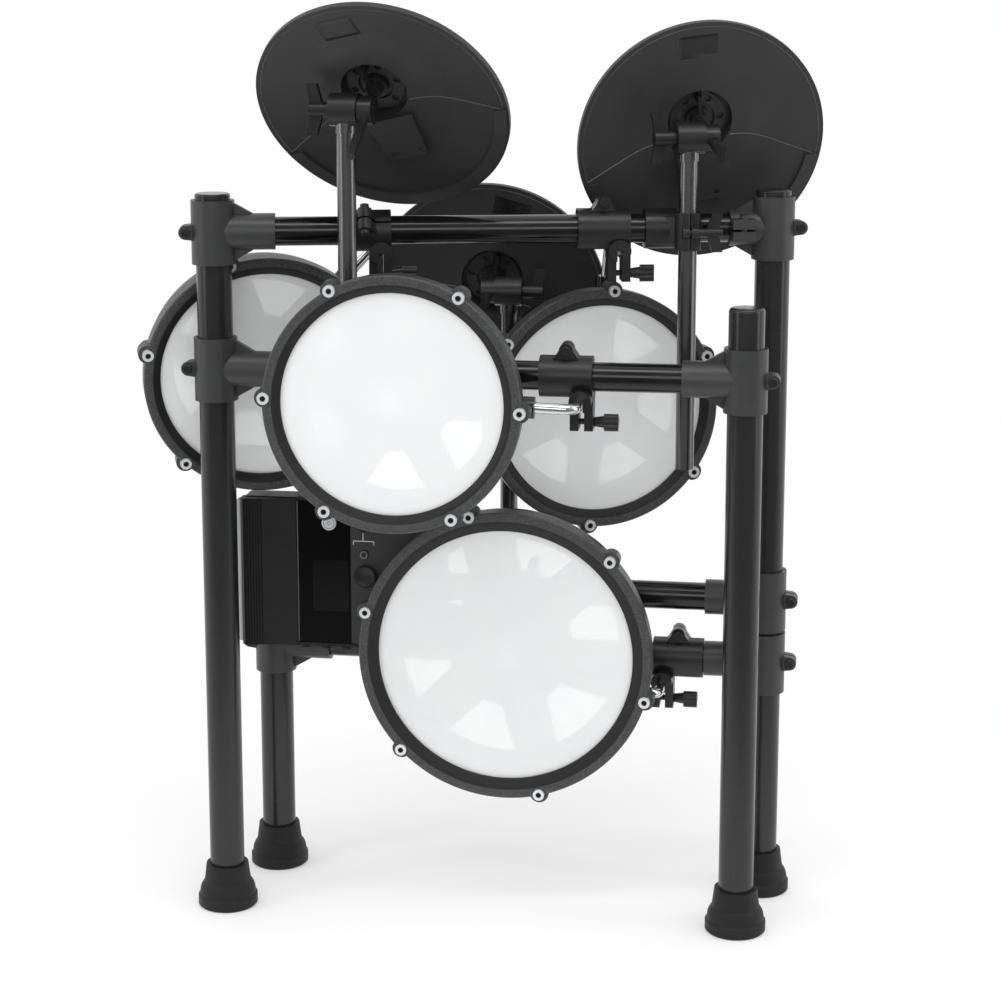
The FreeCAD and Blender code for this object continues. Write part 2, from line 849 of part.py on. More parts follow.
def boom_clamp(where, offset="boom_offset"):
    """A sleeve on a tube with a split vertical ring for a boom, in front of the tube."""
    body = new_body("boom_clamp")
    mid = "boom_shift"
    front = f"-{offset}"
    add(body, "YZ_Plane", [("0", "0", "boom_sleeve_diameter / 2")], "boom_sleeve_length", both=True)
    add(body, "XY_Plane", [(mid, front, "boom_ring_diameter / 2")], "boom_ring_height", both=True)
    bridge = [
        ("-boom_sleeve_length / 2", "0"),
        ("boom_sleeve_length / 2", "0"),
        (f"{mid} + boom_ring_diameter / 4", front),
        (f"{mid} - boom_ring_diameter / 4", front),
    ]
    add(body, "XY_Plane", [bridge], "boom_bridge_height", both=True)
    ears = [
        (f"{mid} - boom_ear_width / 2", front),
        (f"{mid} - boom_ear_width / 2", f"{front} - boom_ear_reach"),
        (f"{mid} + boom_ear_width / 2", f"{front} - boom_ear_reach"),
        (f"{mid} + boom_ear_width / 2", front),
    ]
    add(body, "XY_Plane", [ears], "2 * boom_ear_radius", both=True)
    lobe = [(f"{front} - boom_ear_reach", "0", "boom_ear_radius")]
    add(body, "YZ_Plane", lobe, "boom_ear_width", f"{mid} - boom_ear_width / 2")
    cut(body, "YZ_Plane", [("0", "0", "tube_diameter / 2 + slip")], "4 * boom_sleeve_length", both=True)
    cut(body, "XY_Plane", [(mid, front, "boom_diameter / 2 + slip")], "2 * boom_ring_height", both=True)
    slit = [
        (f"{mid} - clamp_slit / 2", front),
        (f"{mid} - clamp_slit / 2", f"{front} - 2 * boom_ring_diameter"),
        (f"{mid} + clamp_slit / 2", f"{front} - 2 * boom_ring_diameter"),
        (f"{mid} + clamp_slit / 2", front),
    ]
    cut(body, "XY_Plane", [slit], "2 * boom_ring_height", both=True)
    hole = [(f"{front} - boom_ear_reach", "0", "screw_diameter / 2")]
    cut(body, "YZ_Plane", hole, "4 * boom_sleeve_length", both=True)
    return moved(body, where)


def boom_screw(where, hand, offset="boom_offset"):
    """The wing screw of a boom clamp."""
    spot = shift("boom_shift", f"-{offset} - boom_ear_reach")
    return wing_screw("boom_ear_width", where * spot * (Placement() if hand > 0 else HALF_TURN))


def module_clamp(where):
    """A sleeve on a tube with a round spigot in front that carries the sound module."""
    body = new_body("module_clamp")
    sleeve = [("0", "0", "sleeve_diameter / 2")]
    add(body, "YZ_Plane", sleeve, "module_sleeve_length", both=True)
    spigot = [("0", "0", "spigot_diameter / 2")]
    add(body, "XZ_Plane", spigot, "module_back + spigot_socket_depth - gap")
    cut(body, "YZ_Plane", [("0", "0", "tube_diameter / 2 + slip")], "2 * module_sleeve_length", both=True)
    return moved(body, where)


# Pads


class Pad:
    """Radii of one pad, as rules, from its head radius outward."""

    def __init__(self, kind):
        self.view = f"{kind}_head_radius"
        self.rim = f"({kind}_head_radius + {kind}_rim)"
        self.skirt = f"({self.rim} - hoop_skirt)"
        self.wall = f"({self.skirt} - flesh_ring)"
        self.bolt = f"({self.rim} - bolt_inset)"
        self.reach = f"({self.skirt} + {kind}_receiver_reach)"
        self.window_end = f"({kind}_head_radius - window_margin)"
        self.window_depth = f"{kind}_window_depth"
        self.window_narrow = f"{kind}_window_narrow"
        self.window_wide = f"{kind}_window_wide"


def hoop(pad):
    """The clamping hoop: a lip over the head, a skirt round it and six bolt ears."""
    body = new_body("hoop")
    points = [
        (pad.view, "-hoop_lip"),
        (pad.view, "-hoop_lip + hoop_lip_edge"),
        (f"{pad.rim} - hoop_face", "0"),
        (f"{pad.rim} - hoop_edge", "0"),
        (pad.rim, "-hoop_edge"),
        (pad.rim, "-hoop_height"),
        (pad.skirt, "-hoop_height"),
        (pad.skirt, "-hoop_lip"),
    ]
    add_turned(body, points)
    ear = [(pad.bolt, "0", "hoop_ear_radius")]
    lobe = add(body, "XY_Plane", ear, "hoop_height - hoop_ear_top", "-hoop_height")
    around(body, lobe, "lug_count")
    cut(body, "XY_Plane", [("0", "0", pad.skirt)], "hoop_height", "-hoop_lip")
    hole = [(pad.bolt, "0", "bolt_diameter / 2 + bolt_hole_play")]
    around(body, cut(body, "XY_Plane", hole, "4 * hoop_height", both=True), "lug_count")
    well = [(pad.bolt, "0", "bolt_head_diameter / 2 + bolt_hole_play")]
    around(body, cut(body, "XY_Plane", well, "2 * hoop_ear_top", "hoop_ear_top"), "lug_count")
    return body


def head(pad):
    """The mesh head: a thin disc with a flesh ring that hangs over the shell's edge."""
    top = "-hoop_lip - seat"
    points = [
        ("0", top),
        (f"{pad.skirt} - seat", top),
        (f"{pad.skirt} - seat", "-hoop_lip - flesh_ring_height"),
        (f"{pad.wall} + seat", "-hoop_lip - flesh_ring_height"),
        (f"{pad.wall} + seat", f"{top} - mesh_thickness"),
        ("0", f"{top} - mesh_thickness"),
    ]
    return turned("head", points)


def shell(pad, rod_end):
    """The shell: a wall under the head, a windowed back plate, bolt lugs and a socket for the rod."""
    body = new_body("shell")
    top = "-hoop_lip - mesh_thickness - 2 * seat"
    points = [
        ("0", "-shell_depth"),
        (f"{pad.skirt} - shell_edge", "-shell_depth"),
        (pad.skirt, "-shell_depth + shell_edge"),
        (pad.skirt, "-shell_shoulder"),
        (pad.wall, "-shell_shoulder"),
        (pad.wall, top),
        (f"{pad.wall} - shell_wall", top),
        (f"{pad.wall} - shell_wall", "-shell_depth + shell_plate"),
        ("sensor_hub_radius", "-shell_depth + shell_plate"),
        ("sensor_hub_radius", "-sensor_level"),
        ("0", "-sensor_level"),
    ]
    add_turned(body, points)
    lug = [(f"{pad.bolt} - bolt_inset", "0", "lug_radius")]
    around(body, add(body, "XY_Plane", lug, "lug_bottom - shell_shoulder", "-lug_bottom"), "lug_count")
    corner = f"sqrt({pad.window_end} * {pad.window_end} - {pad.window_wide} * {pad.window_wide} / 4)"
    start = f"{pad.window_end} - {pad.window_depth}"
    window = [
        (f"-{pad.window_narrow} / 2", start),
        (f"{pad.window_narrow} / 2", start),
        (f"{pad.window_wide} / 2", corner, pad.window_end, -1),
        (f"-{pad.window_wide} / 2", corner),
    ]
    opening = cut(body, "XY_Plane", [window], "4 * shell_plate", "-shell_depth + 2 * shell_plate")
    around(body, opening, "lug_count")
    socket = [("0", "-receiver_depth", "receiver_diameter / 2")]
    inner = f"({rod_end} - receiver_wall)"
    add(body, "YZ_Plane", socket, f"{pad.reach} - {inner}", inner)
    bore = [("0", "-receiver_depth", "rod_diameter / 2 + slip")]
    cut(body, "YZ_Plane", bore, f"{pad.reach} - {rod_end} + seat", pad.reach)
    hole = [(pad.bolt, "0", "bolt_diameter / 2 + slip")]
    depth = "bolt_end + seat - shell_shoulder"
    around(body, cut(body, "XY_Plane", hole, depth, "-shell_shoulder"), "lug_count")
    return body


def lug_bolt(pad, where, angle):
    """A hoop bolt with a hexagon socket, standing at an angle round the pad."""
    length = "bolt_end - hoop_ear_top + 2 * seat"
    shank = cylinder("bolt_diameter / 2", length, "Z", ("0", "0", "-bolt_end"))
    crown = cylinder("bolt_head_diameter / 2", "bolt_head_height", "Z", ("0", "0", "seat - hoop_ear_top"))
    socket = doc.addObject("Part::Prism", "socket")
    socket.Polygon = 6
    bind(socket, Circumradius="bolt_socket / 2", Height="bolt_head_height")
    place(socket, "Z", ("0", "0", "bolt_head_height - bolt_socket_depth - hoop_ear_top"))
    return moved(less(joined(shank, crown), socket), where * turn(UP, angle) * shift(pad.bolt))


def sensor_plate(where):
    """The plate that carries the trigger foam."""
    spot = shift(z="seat - sensor_level")
    return moved(cylinder("sensor_plate_radius", "sensor_plate"), where * spot)


def sensor_foam(where):
    """The foam cone that touches the head from below."""
    cone = bind(
        doc.addObject("Part::Cone", "foam"),
        Radius1="foam_base_radius",
        Radius2="foam_top_radius",
        Height="sensor_level - sensor_plate - hoop_lip - mesh_thickness - 4 * seat",
    )
    return moved(cone, where * shift(z="sensor_plate + 2 * seat - sensor_level"))


def rod(where):
    """An L-shaped rod: out of the clamp along Z, a bend, then along X to the pad."""
    body = new_body("rod")
    reach = "(rod_reach + boss_bore_back - gap)"
    path = draw_on(body, "XZ_Plane")
    points = [
        ("0", "0"),
        ("0", f"{reach} - rod_bend", "rod_bend * arc_ease", 1),
        ("rod_bend", reach),
        ("rod_length", reach),
    ]
    outline(path, points, closed=False)
    profile = draw_on(body, "XY_Plane")
    circle(profile, "0", "0", "rod_diameter / 2")
    feature = body.newObject("PartDesign::AdditivePipe", "bent")
    feature.Profile = profile
    feature.Spine = path
    body.Tip = feature
    return moved(body, where)


def build_pad(name, kind, rail_frame, facing):
    """One pad with its rod; facing is 1 where the rod leaves the clamp's front and -1 at its back."""
    pad = Pad(kind)
    clamp = rail_frame * shift(f"{name}_station") * (Placement() if facing > 0 else HALF_TURN)
    mid = -size("boss_shift") if name == "snare" else facing * size("boss_shift")
    swing = math.radians(size(f"{name}_swing"))
    run = Vector(facing * math.cos(swing), 0, math.sin(swing))
    viewer = Vector(0, -facing, 0)
    tilt = math.radians(size(f"{name}_tilt"))
    normal = viewer * math.cos(tilt) + run.cross(viewer) * math.sin(tilt)
    draw = size(f"{name}_draw")
    start = Vector(mid, size("boss_bore_back - gap") - draw, -size("boss_drop"))
    corner = Vector(mid, -size("rod_reach") - draw, -size("boss_drop"))
    center = corner + run * size(f"{name}_arm") + normal * size("receiver_depth")
    frame = clamp * axes(center, run * -1, normal)
    rod_end = f"({name}_arm - rod_length)"
    node(f"{name}_shell", moved(shell(pad, rod_end), frame))
    node(f"{name}_hoop", moved(hoop(pad), frame))
    node(f"{name}_head", moved(head(pad), frame))
    node(f"{name}_sensor", sensor_plate(frame), sensor_foam(frame))
    turns = range(int(size("lug_count")))
    node(f"{name}_bolts", *[lug_bolt(pad, frame, i * 360 / len(turns)) for i in turns])
    node(f"{name}_rod", rod(clamp * axes(start, run, BACK * -1)))


# Booms, tilters and cymbals


def boom_tube(where):
    """The boom tube, its top end inside the tilter socket."""
    tube = pipe("boom_diameter / 2", "boom_wall", "boom_length - drum_socket_drop + drum_socket_depth")
    return moved(tube, where * shift(z="-boom_length"))


def tilter_drum(where, side):
    """The tilter's fixed drum with a socket on the boom and a bore for the wing nut's stud."""
    body = new_body("drum")
    add(body, "YZ_Plane", [("0", "0", "drum_diameter / 2")], "drum_length", both=True)
    socket = [("0", "0", "drum_socket_diameter / 2")]
    add(body, "XY_Plane", socket, "drum_socket_drop", "-drum_socket_drop")
    bore = [("0", "0", "boom_diameter / 2 + slip")]
    cut(body, "XY_Plane", bore, "drum_socket_depth + seat", "-drum_socket_drop + drum_socket_depth + seat")
    stud = [("0", "0", "stud_diameter / 2 + slip")]
    cut(body, "YZ_Plane", stud, "stud_length + gap", "drum_length / 2")
    return moved(body, where * (Placement() if side < 0 else HALF_TURN))


def tilt_nut(where, side):
    """The wing nut that locks the tilter, with a stud into the drum."""
    body = new_body("tilt_nut")
    far = "(drum_length / 2 + gap)"
    stud = [("0", "0", "stud_diameter / 2")]
    add(body, "YZ_Plane", stud, "stud_length + gap", "drum_length / 2 - stud_length")
    add(body, "YZ_Plane", [("0", "0", "tilt_nut_diameter / 2")], "tilt_nut_length", far)
    paddles = wings(far, "tilt_wing_length", "tilt_wing_span")
    add(body, "XZ_Plane", [paddles], "tilt_wing_thickness", both=True)
    return moved(body, where * (Placement() if side < 0 else HALF_TURN))


def eye_spot(side):
    """Where the tilter eye's rod crosses the tilt axis."""
    return shift(f"{side} * (drum_length / 2 + gap + eye_width / 2)")


def tilter_eye(where, side):
    """The tilting eye beside the drum, bored for the cymbal rod."""
    body = new_body("eye")
    add(body, "YZ_Plane", [("0", "0", "eye_diameter / 2")], "eye_width", both=True)
    cut(body, "XY_Plane", [("0", "0", "post_rod_diameter / 2 + slip")], "2 * eye_diameter", both=True)
    return moved(body, where * eye_spot(side))


def collar(inner, outer, height, where):
    """A round washer or nut on the cymbal rod."""
    bore = cylinder(inner, f"3 * {height}", "Z", ("0", "0", f"-{height}"))
    return moved(less(cylinder(outer, height), bore), where)


def stop_collar(where):
    """A stop on the cymbal rod, with an arm whose finger stands in the slot of the hub ring."""
    left = "-stop_arm_width / 2"
    finger_start = "stop_arm_reach - stop_finger"
    finger_height = "stop_height + felt_thickness + seat - gap"
    body = joined(
        cylinder("stop_diameter / 2", "stop_height"),
        block("stop_arm_width", "stop_arm_reach", "stop_height / 2", (left, "0", "0")),
        block("stop_arm_width", "stop_finger", finger_height, (left, finger_start, "0")),
    )
    bore = cylinder("post_rod_diameter / 2 + slip", "3 * stop_height", "Z", ("0", "0", "-stop_height"))
    return moved(less(body, bore), where)


def cymbal_rod(reach, where, side):
    """The rod through the eye that carries the cymbal."""
    bar = cylinder("post_rod_diameter / 2", f"post_rod_front + {reach} + bell_plate + post_rod_back")
    return moved(bar, where * eye_spot(side) * shift(z="-post_rod_front"))


def cymbal_disc():
    """The bowed cymbal pad with an off-center bell, a recessed hub ring and a jack cover underneath."""
    bow = "(cymbal_radius * cymbal_radius + cymbal_bow * cymbal_bow) / (2 * cymbal_bow)"
    disc = new_body("disc")
    points = [
        ("0", "cymbal_bow", bow, 1),
        ("cymbal_radius", "0"),
        ("cymbal_radius", "cymbal_thickness - cymbal_edge"),
        ("cymbal_radius - cymbal_edge", "cymbal_thickness"),
        ("0", "cymbal_bow + cymbal_thickness"),
    ]
    add_turned(disc, points)
    moved(disc, shift("0", "-cymbal_offset"))
    lip = less(
        cylinder(
            "cymbal_radius - cymbal_edge",
            "cymbal_bow",
            "Z",
            ("0", "-cymbal_offset", "-cymbal_lip_height"),
        ),
        cylinder(
            "cymbal_radius - cymbal_lip_width",
            "4 * cymbal_bow",
            "Z",
            ("0", "-cymbal_offset", "-cymbal_bow"),
        ),
        block(
            "3 * cymbal_radius",
            "3 * cymbal_radius",
            "4 * cymbal_bow",
            ("-1.5 * cymbal_radius", "-cymbal_seam_drop", "-cymbal_bow"),
        ),
    )
    dome = [
        ("0", "cymbal_bow / 2"),
        ("bell_radius", "cymbal_bow / 2"),
        ("bell_radius", "cymbal_thickness", "bell_radius", -1),
        ("bell_top_radius", "bell_height"),
        ("0", "bell_height"),
    ]
    bell = turned("bell", dome)
    recess = cylinder("bell_recess_radius", "bell_depth + cymbal_bow", "Z", ("0", "0", "-cymbal_bow"))
    hole_radius = "post_rod_diameter / 2 + hub_hole_play"
    hole = cylinder(hole_radius, "4 * bell_height", "Z", ("0", "0", "-bell_height"))
    ring = new_body("hub_ring")
    level = "bell_depth - hub_ring_height"
    add(ring, "XY_Plane", [("0", "0", "hub_ring_radius")], "hub_ring_height", level)
    tab_end = "sqrt(hub_tab_reach * hub_tab_reach - hub_tab_width * hub_tab_width / 4)"
    tab = [
        ("-hub_tab_width / 2", "0"),
        ("hub_tab_width / 2", "0"),
        ("hub_tab_width / 2", tab_end, "hub_tab_reach", -1),
        ("-hub_tab_width / 2", tab_end),
    ]
    add(ring, "XY_Plane", [tab], "hub_ring_height", level)
    slot = [
        ("-hub_slot_width / 2", "0"),
        ("hub_slot_width / 2", "0"),
        ("hub_slot_width / 2", "hub_slot_reach"),
        ("-hub_slot_width / 2", "hub_slot_reach"),
    ]
    cut(ring, "XY_Plane", [slot], "4 * bell_depth", both=True)
    cut(ring, "XY_Plane", [("0", "0", "hub_ring_bore")], "4 * bell_depth", both=True)
    hub_hole = [("hub_ring_hole_circle", "0", "hub_ring_hole / 2")]
    around(ring, cut(ring, "XY_Plane", hub_hole, "4 * bell_depth", both=True), "hub_ring_holes")
    cover = new_body("jack_cover")
    face = [
        ("-jack_cover_width / 2", "-bell_recess_radius"),
        ("-jack_cover_tip / 2", "-jack_cover_reach"),
        ("jack_cover_tip / 2", "-jack_cover_reach"),
        ("jack_cover_width / 2", "-bell_recess_radius"),
    ]
    add(cover, "XY_Plane", [face], "jack_cover_drop + cymbal_bow", "-jack_cover_drop + cymbal_bow / 2")
    jack = cylinder(
        "jack_diameter / 2",
        "jack_depth",
        "Y",
        ("0", "-jack_cover_reach - gap", "cymbal_bow / 2"),
    )
    return joined(less(joined(disc, lip, bell, cover), recess, hole, jack), ring)


def build_cymbal(name, rail_frame, level, facing, side, offset="boom_offset"):
    """A boom with its tilter above a level, and its cymbal; side is the eye's place along the tilt axis."""
    clamp = rail_frame * shift(f"{name}_boom_station") * (Placement() if facing > 0 else HALF_TURN)
    foot_point = clamp.multVec(Vector(size("boom_shift"), -size(offset), 0))
    top = Vector(foot_point.x, foot_point.y, size(f"{level} + {name}_tilt_rise"))
    boom = Placement(top, Rotation(UP, size(f"{name}_tilt_yaw")))
    tilter = boom * turn(ALONG, size(f"{name}_tilt") - 90)
    reach = f"{name}_hub_reach"
    node(f"{name}_boom", boom_tube(boom), tilter_drum(boom, side))
    node(f"{name}_tilter_wing_nut", tilt_nut(boom, side))
    hub = tilter * eye_spot(side)
    grip = "post_rod_diameter / 2 + slip"
    felt = "felt_diameter / 2"
    spin = turn(UP, size(f"{name}_spin")) * HALF_TURN
    node(
        f"{name}_tilter",
        tilter_eye(tilter, side),
        cymbal_rod(reach, tilter, side),
        stop_collar(hub * shift(z=f"{reach} - felt_thickness - stop_height - 2 * seat") * spin),
        collar(grip, felt, "felt_thickness", hub * shift(z=f"{reach} - felt_thickness - seat")),
        collar(grip, felt, "felt_thickness", hub * shift(z=f"{reach} + bell_height - bell_depth + seat")),
        collar(
            grip,
            "hub_nut_diameter / 2",
            "hub_nut_height",
            hub * shift(z=f"{reach} + bell_height - bell_depth + felt_thickness + 2 * seat"),
        ),
    )
    node(f"{name}_cymbal", moved(cymbal_disc(), hub * shift(z=f"{reach} - bell_depth") * spin))


# Sound module


def rounded(left, bottom, right, top, corner):
    """A rectangle with round corners, as an outline."""
    return [
        (f"{left} + {corner}", bottom),
        (f"{right} - {corner}", bottom, f"{corner} * arc_ease", -1),
        (right, f"{bottom} + {corner}"),
        (right, f"{top} - {corner}", f"{corner} * arc_ease", -1),
        (f"{right} - {corner}", top),
        (f"{left} + {corner}", top, f"{corner} * arc_ease", -1),
        (left, f"{top} - {corner}"),
        (left, f"{bottom} + {corner}", f"{corner} * arc_ease", -1),
    ]


def hood_groove(left, number):
    """The outline of one groove across the sloping top of the module's hood."""
    start = f"hood_ridge_start + {number} * hood_ridge_pitch"
    fall = "(hood_height - hood_tail) / (hood_width - hood_edge)"
    floor = f"module_depth + hood_height - ({start} - hood_edge) * {fall} - hood_ridge_depth"
    return [
        (f"{left} + {start}", floor),
        (f"{left} + {start} + hood_ridge_width", floor),
        (f"{left} + {start} + hood_ridge_width", "module_depth + 2 * hood_height"),
        (f"{left} + {start}", "module_depth + 2 * hood_height"),
    ]


def module_case(pivot_x, pivot_y):
    """The module's case: an open tray with a ridged hood along its left end and a spigot socket behind."""
    body = new_body("case")
    left = "-module_width / 2"
    right = "module_width / 2"
    low = "-module_height / 2"
    high = "module_height / 2"
    add(body, "XY_Plane", [rounded(left, low, right, high, "module_corner")], "module_depth")
    hood_end = f"{left} + hood_width"
    rise = [
        (left, "module_depth - module_corner"),
        (hood_end, "module_depth - module_corner"),
        (hood_end, "module_depth + hood_tail"),
        (f"{left} + hood_edge", "module_depth + hood_height"),
        (left, "module_depth + hood_height - hood_edge"),
    ]
    add(body, "XZ_Plane", [rise], "module_height - 2 * hood_inset", both=True)
    grooves = [hood_groove(left, i) for i in range(int(size("hood_ridges")))]
    cut(body, "XZ_Plane", grooves, "2 * module_height", both=True)
    inset = "module_wall"
    bounds = (hood_end, f"{low} + {inset}", f"{right} - {inset}", f"{high} - {inset}")
    tray = rounded(*bounds, "module_corner / 2")
    cut(body, "XY_Plane", [tray], "module_depth - spigot_socket_depth - spigot_socket_wall", "module_depth")
    socket = [(pivot_x, pivot_y, "spigot_diameter / 2 + slip")]
    cut(body, "XY_Plane", socket, "2 * spigot_socket_depth", both=True)
    return body


def jack_nut(number, where):
    """The round nut of one plug jack under the module's lower edge, numbered along that edge."""
    body = new_body("jack")
    across = f"({number} - (jack_row_count + 1) / 2) * jack_row_pitch"
    mid = "module_depth / 2"
    rings = [(across, mid, "jack_nut_diameter / 2"), (across, mid, "jack_diameter / 2")]
    add(body, "XZ_Plane", rings, "jack_nut_height", "module_height / 2 + seat")
    return moved(body, where)


def button_spots():
    """Name, rightward and upward place and radius of each button."""
    return [
        ("module_power_button", "power_right", "power_up", "power_radius"),
        ("module_song_button", "select_right", "select_up", "select_radius"),
        ("module_kit_button", "select_right + select_pitch", "select_up", "select_radius"),
        ("module_mode_button", "mode_right", "mode_up", "mode_radius"),
    ]


def module_panel():
    """The front panel with openings for the buttons and dial and a sunk display."""
    body = new_body("panel")
    inset = "(module_wall + seat)"
    face = rounded(
        "-module_width / 2 + hood_width + seat",
        f"-module_height / 2 + {inset}",
        f"module_width / 2 - {inset}",
        f"module_height / 2 - {inset}",
        "module_corner / 2",
    )
    add(body, "XY_Plane", [face], "panel_thickness")
    for _, right, up, radius in button_spots():
        cut(body, "XY_Plane", [(right, up, f"{radius} + button_play")], "4 * panel_thickness", both=True)
    shaft_hole = [("dial_right", "dial_up", "dial_shaft / 2 + slip")]
    cut(body, "XY_Plane", shaft_hole, "4 * panel_thickness", both=True)
    window = [
        ("display_left", "display_bottom"),
        ("display_right", "display_bottom"),
        ("display_right", "display_top"),
        ("display_left", "display_top"),
    ]
    cut(body, "XY_Plane", [window], "display_sink", "panel_thickness")
    return body


def button(right, up, radius):
    """A push button with a flange behind the panel."""
    body = new_body("button")
    add(body, "XY_Plane", [(right, up, radius)], "panel_thickness + button_stand + gap", "-gap")
    flange = [(right, up, f"{radius} + button_flange")]
    add(body, "XY_Plane", flange, "button_flange_height", "-gap - button_flange_height")
    return body


def dial():
    """The data dial with a shaft through the panel."""
    body = new_body("dial")
    knob = [("dial_right", "dial_up", "dial_radius")]
    add(body, "XY_Plane", knob, "dial_height", "panel_thickness + gap")
    shaft = [("dial_right", "dial_up", "dial_shaft / 2")]
    add(body, "XY_Plane", shaft, "panel_thickness + 3 * gap", "-gap")
    return body


def build_module():
    """The sound module on the upper left tube, turned on its side."""
    rise = "module_rise"
    front = turn(ALONG, 90)
    frame = UPPER_RAIL * shift("module_station", "-module_back", rise) * front
    pivot_x = "(module_pivot_station - module_station)"
    numbers = range(1, int(size("jack_row_count")) + 1)
    node(
        "module_case",
        moved(module_case(pivot_x, f"-{rise}"), frame),
        *[jack_nut(number, frame) for number in numbers],
    )
    panel = frame * shift(z="module_depth - panel_thickness - panel_sink")
    node("module_panel", moved(module_panel(), panel))
    for name, right, up, radius in button_spots():
        node(name, moved(button(right, up, radius), panel))
    node("module_dial", moved(dial(), panel))


# Assembly

AT_RIGHT_POST = shift("center_span")
AT_RIGHT_END = shift("right_span")
AT_LEFT_END = shift("-left_span")

node("left_inner_post", inner_post(LEFT_POST))
node("right_inner_post", inner_post(RIGHT_POST))
node("inner_post_caps", cap(LEFT_POST), cap(RIGHT_POST))
node("inner_post_feet", foot(LEFT_POST), foot(RIGHT_POST))
node("center_tube", cross_tube("center_span", CENTER_RAIL))
RIGHT_TEE = CENTER_RAIL * AT_RIGHT_POST * HALF_TURN
node("center_tube_clamps", tee_clamp(CENTER_RAIL), tee_clamp(RIGHT_TEE, "short_arm_reach", True))
LEFT_TOM_CLAMP = CENTER_RAIL * shift("left_tom_station") * HALF_TURN
RIGHT_TOM_CLAMP = CENTER_RAIL * shift("right_tom_station") * HALF_TURN
RIGHT_BOOM_CLAMP = CENTER_RAIL * shift("right_boom_station")
node(
    "center_mount_clamps",
    pad_clamp(LEFT_TOM_CLAMP, "-1", "left_tom_ear_roll"),
    jaw_screw(LEFT_TOM_CLAMP, "-1", -1),
    pad_clamp(RIGHT_TOM_CLAMP, "-1"),
    jaw_screw(RIGHT_TOM_CLAMP, "-1", -1),
    boom_clamp(RIGHT_BOOM_CLAMP),
    boom_screw(RIGHT_BOOM_CLAMP, 1),
)

node("right_outer_post", outer_post(f"({RIGHT_HEIGHT} + right_post_stand)", RIGHT_END))
node("right_outer_foot", foot(RIGHT_END))
node("right_wing_tube", cross_tube("right_span", RIGHT_RAIL))
node("right_wing_clamps", tee_clamp(RIGHT_RAIL), tee_clamp(RIGHT_RAIL * AT_RIGHT_END * HALF_TURN))
CENTER_TOM_CLAMP = RIGHT_RAIL * shift("center_tom_station")
LEFT_BOOM_CLAMP = RIGHT_RAIL * shift("left_boom_station")
node(
    "right_mount_clamps",
    pad_clamp(CENTER_TOM_CLAMP, "1"),
    jaw_screw(CENTER_TOM_CLAMP, "1", 1),
    boom_clamp(LEFT_BOOM_CLAMP),
    boom_screw(LEFT_BOOM_CLAMP, 1),
)

LEFT_RAILS = (LOWER_RAIL, UPPER_RAIL)
node("left_outer_post", outer_post(f"({UPPER_HEIGHT} + left_post_stand)", LEFT_END))
node("left_outer_foot", foot(LEFT_END))
node("left_wing_tubes", *[cross_tube("left_span", r * AT_LEFT_END) for r in LEFT_RAILS])
FIXED_TEES = [tee_clamp(r * AT_LEFT_END) for r in LEFT_RAILS]
HINGED_TEES = [tee_clamp(r * HALF_TURN) for r in LEFT_RAILS]
node("left_wing_clamps", *FIXED_TEES, *HINGED_TEES)
SNARE_CLAMP = LOWER_RAIL * shift("snare_station")
REAR_BOOM_CLAMP = UPPER_RAIL * shift("rear_boom_station") * HALF_TURN
node(
    "left_mount_clamps",
    pad_clamp(SNARE_CLAMP, "-1"),
    jaw_screw(SNARE_CLAMP, "-1", 1),
    boom_clamp(REAR_BOOM_CLAMP, "rear_boom_offset"),
    boom_screw(REAR_BOOM_CLAMP, -1, "rear_boom_offset"),
    module_clamp(UPPER_RAIL * shift("module_pivot_station")),
)

build_pad("center_tom", "tom", RIGHT_RAIL, 1)
build_pad("right_tom", "tom", CENTER_RAIL, -1)
build_pad("left_tom", "tom", CENTER_RAIL, -1)
build_pad("snare", "snare", LOWER_RAIL, 1)
build_cymbal("left", RIGHT_RAIL, CENTER_HEIGHT, 1, 1)
build_cymbal("right", CENTER_RAIL, CENTER_HEIGHT, 1, 1)
build_cymbal("rear", UPPER_RAIL, UPPER_HEIGHT, -1, -1, "rear_boom_offset")
build_module()

doc.recompute()

os.makedirs("parts", exist_ok=True)
for thing in doc.Objects:
    if "Invalid" in thing.State or "Error" in thing.State:
        raise RuntimeError(f"{thing.Name} of {thing.Label} did not build")
for thing in NODES:
    if thing.Shape.isNull() or not thing.Shape.isValid():
        raise RuntimeError(f"{thing.Label} has no sound shape")
    thing.Shape.exportStep(f"parts/{thing.Label}.step")
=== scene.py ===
"""Dresses an electronic drum kit that stands folded on its hinged tube rack.

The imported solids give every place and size. Finishes are node materials on object coordinates,
and added pieces are surfaces of two parameters worked out as whole arrays.
"""

import logging
import math
from collections.abc import Sequence
from dataclasses import dataclass, replace
from enum import Enum
from functools import cached_property

import bmesh
import bpy
import numpy as np
from mathutils import Matrix


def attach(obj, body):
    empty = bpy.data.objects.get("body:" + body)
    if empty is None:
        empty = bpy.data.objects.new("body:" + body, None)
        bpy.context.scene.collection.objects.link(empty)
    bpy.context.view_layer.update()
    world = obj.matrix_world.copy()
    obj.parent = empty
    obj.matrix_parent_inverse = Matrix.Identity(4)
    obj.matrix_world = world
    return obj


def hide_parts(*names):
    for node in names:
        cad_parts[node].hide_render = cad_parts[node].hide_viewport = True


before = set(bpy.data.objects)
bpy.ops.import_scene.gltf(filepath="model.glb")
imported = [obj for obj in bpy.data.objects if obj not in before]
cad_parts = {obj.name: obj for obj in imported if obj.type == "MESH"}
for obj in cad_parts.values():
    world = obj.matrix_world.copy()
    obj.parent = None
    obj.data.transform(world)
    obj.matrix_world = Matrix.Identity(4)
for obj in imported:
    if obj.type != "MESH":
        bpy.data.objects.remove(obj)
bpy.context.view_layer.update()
LOG = logging.getLogger("drum_kit")

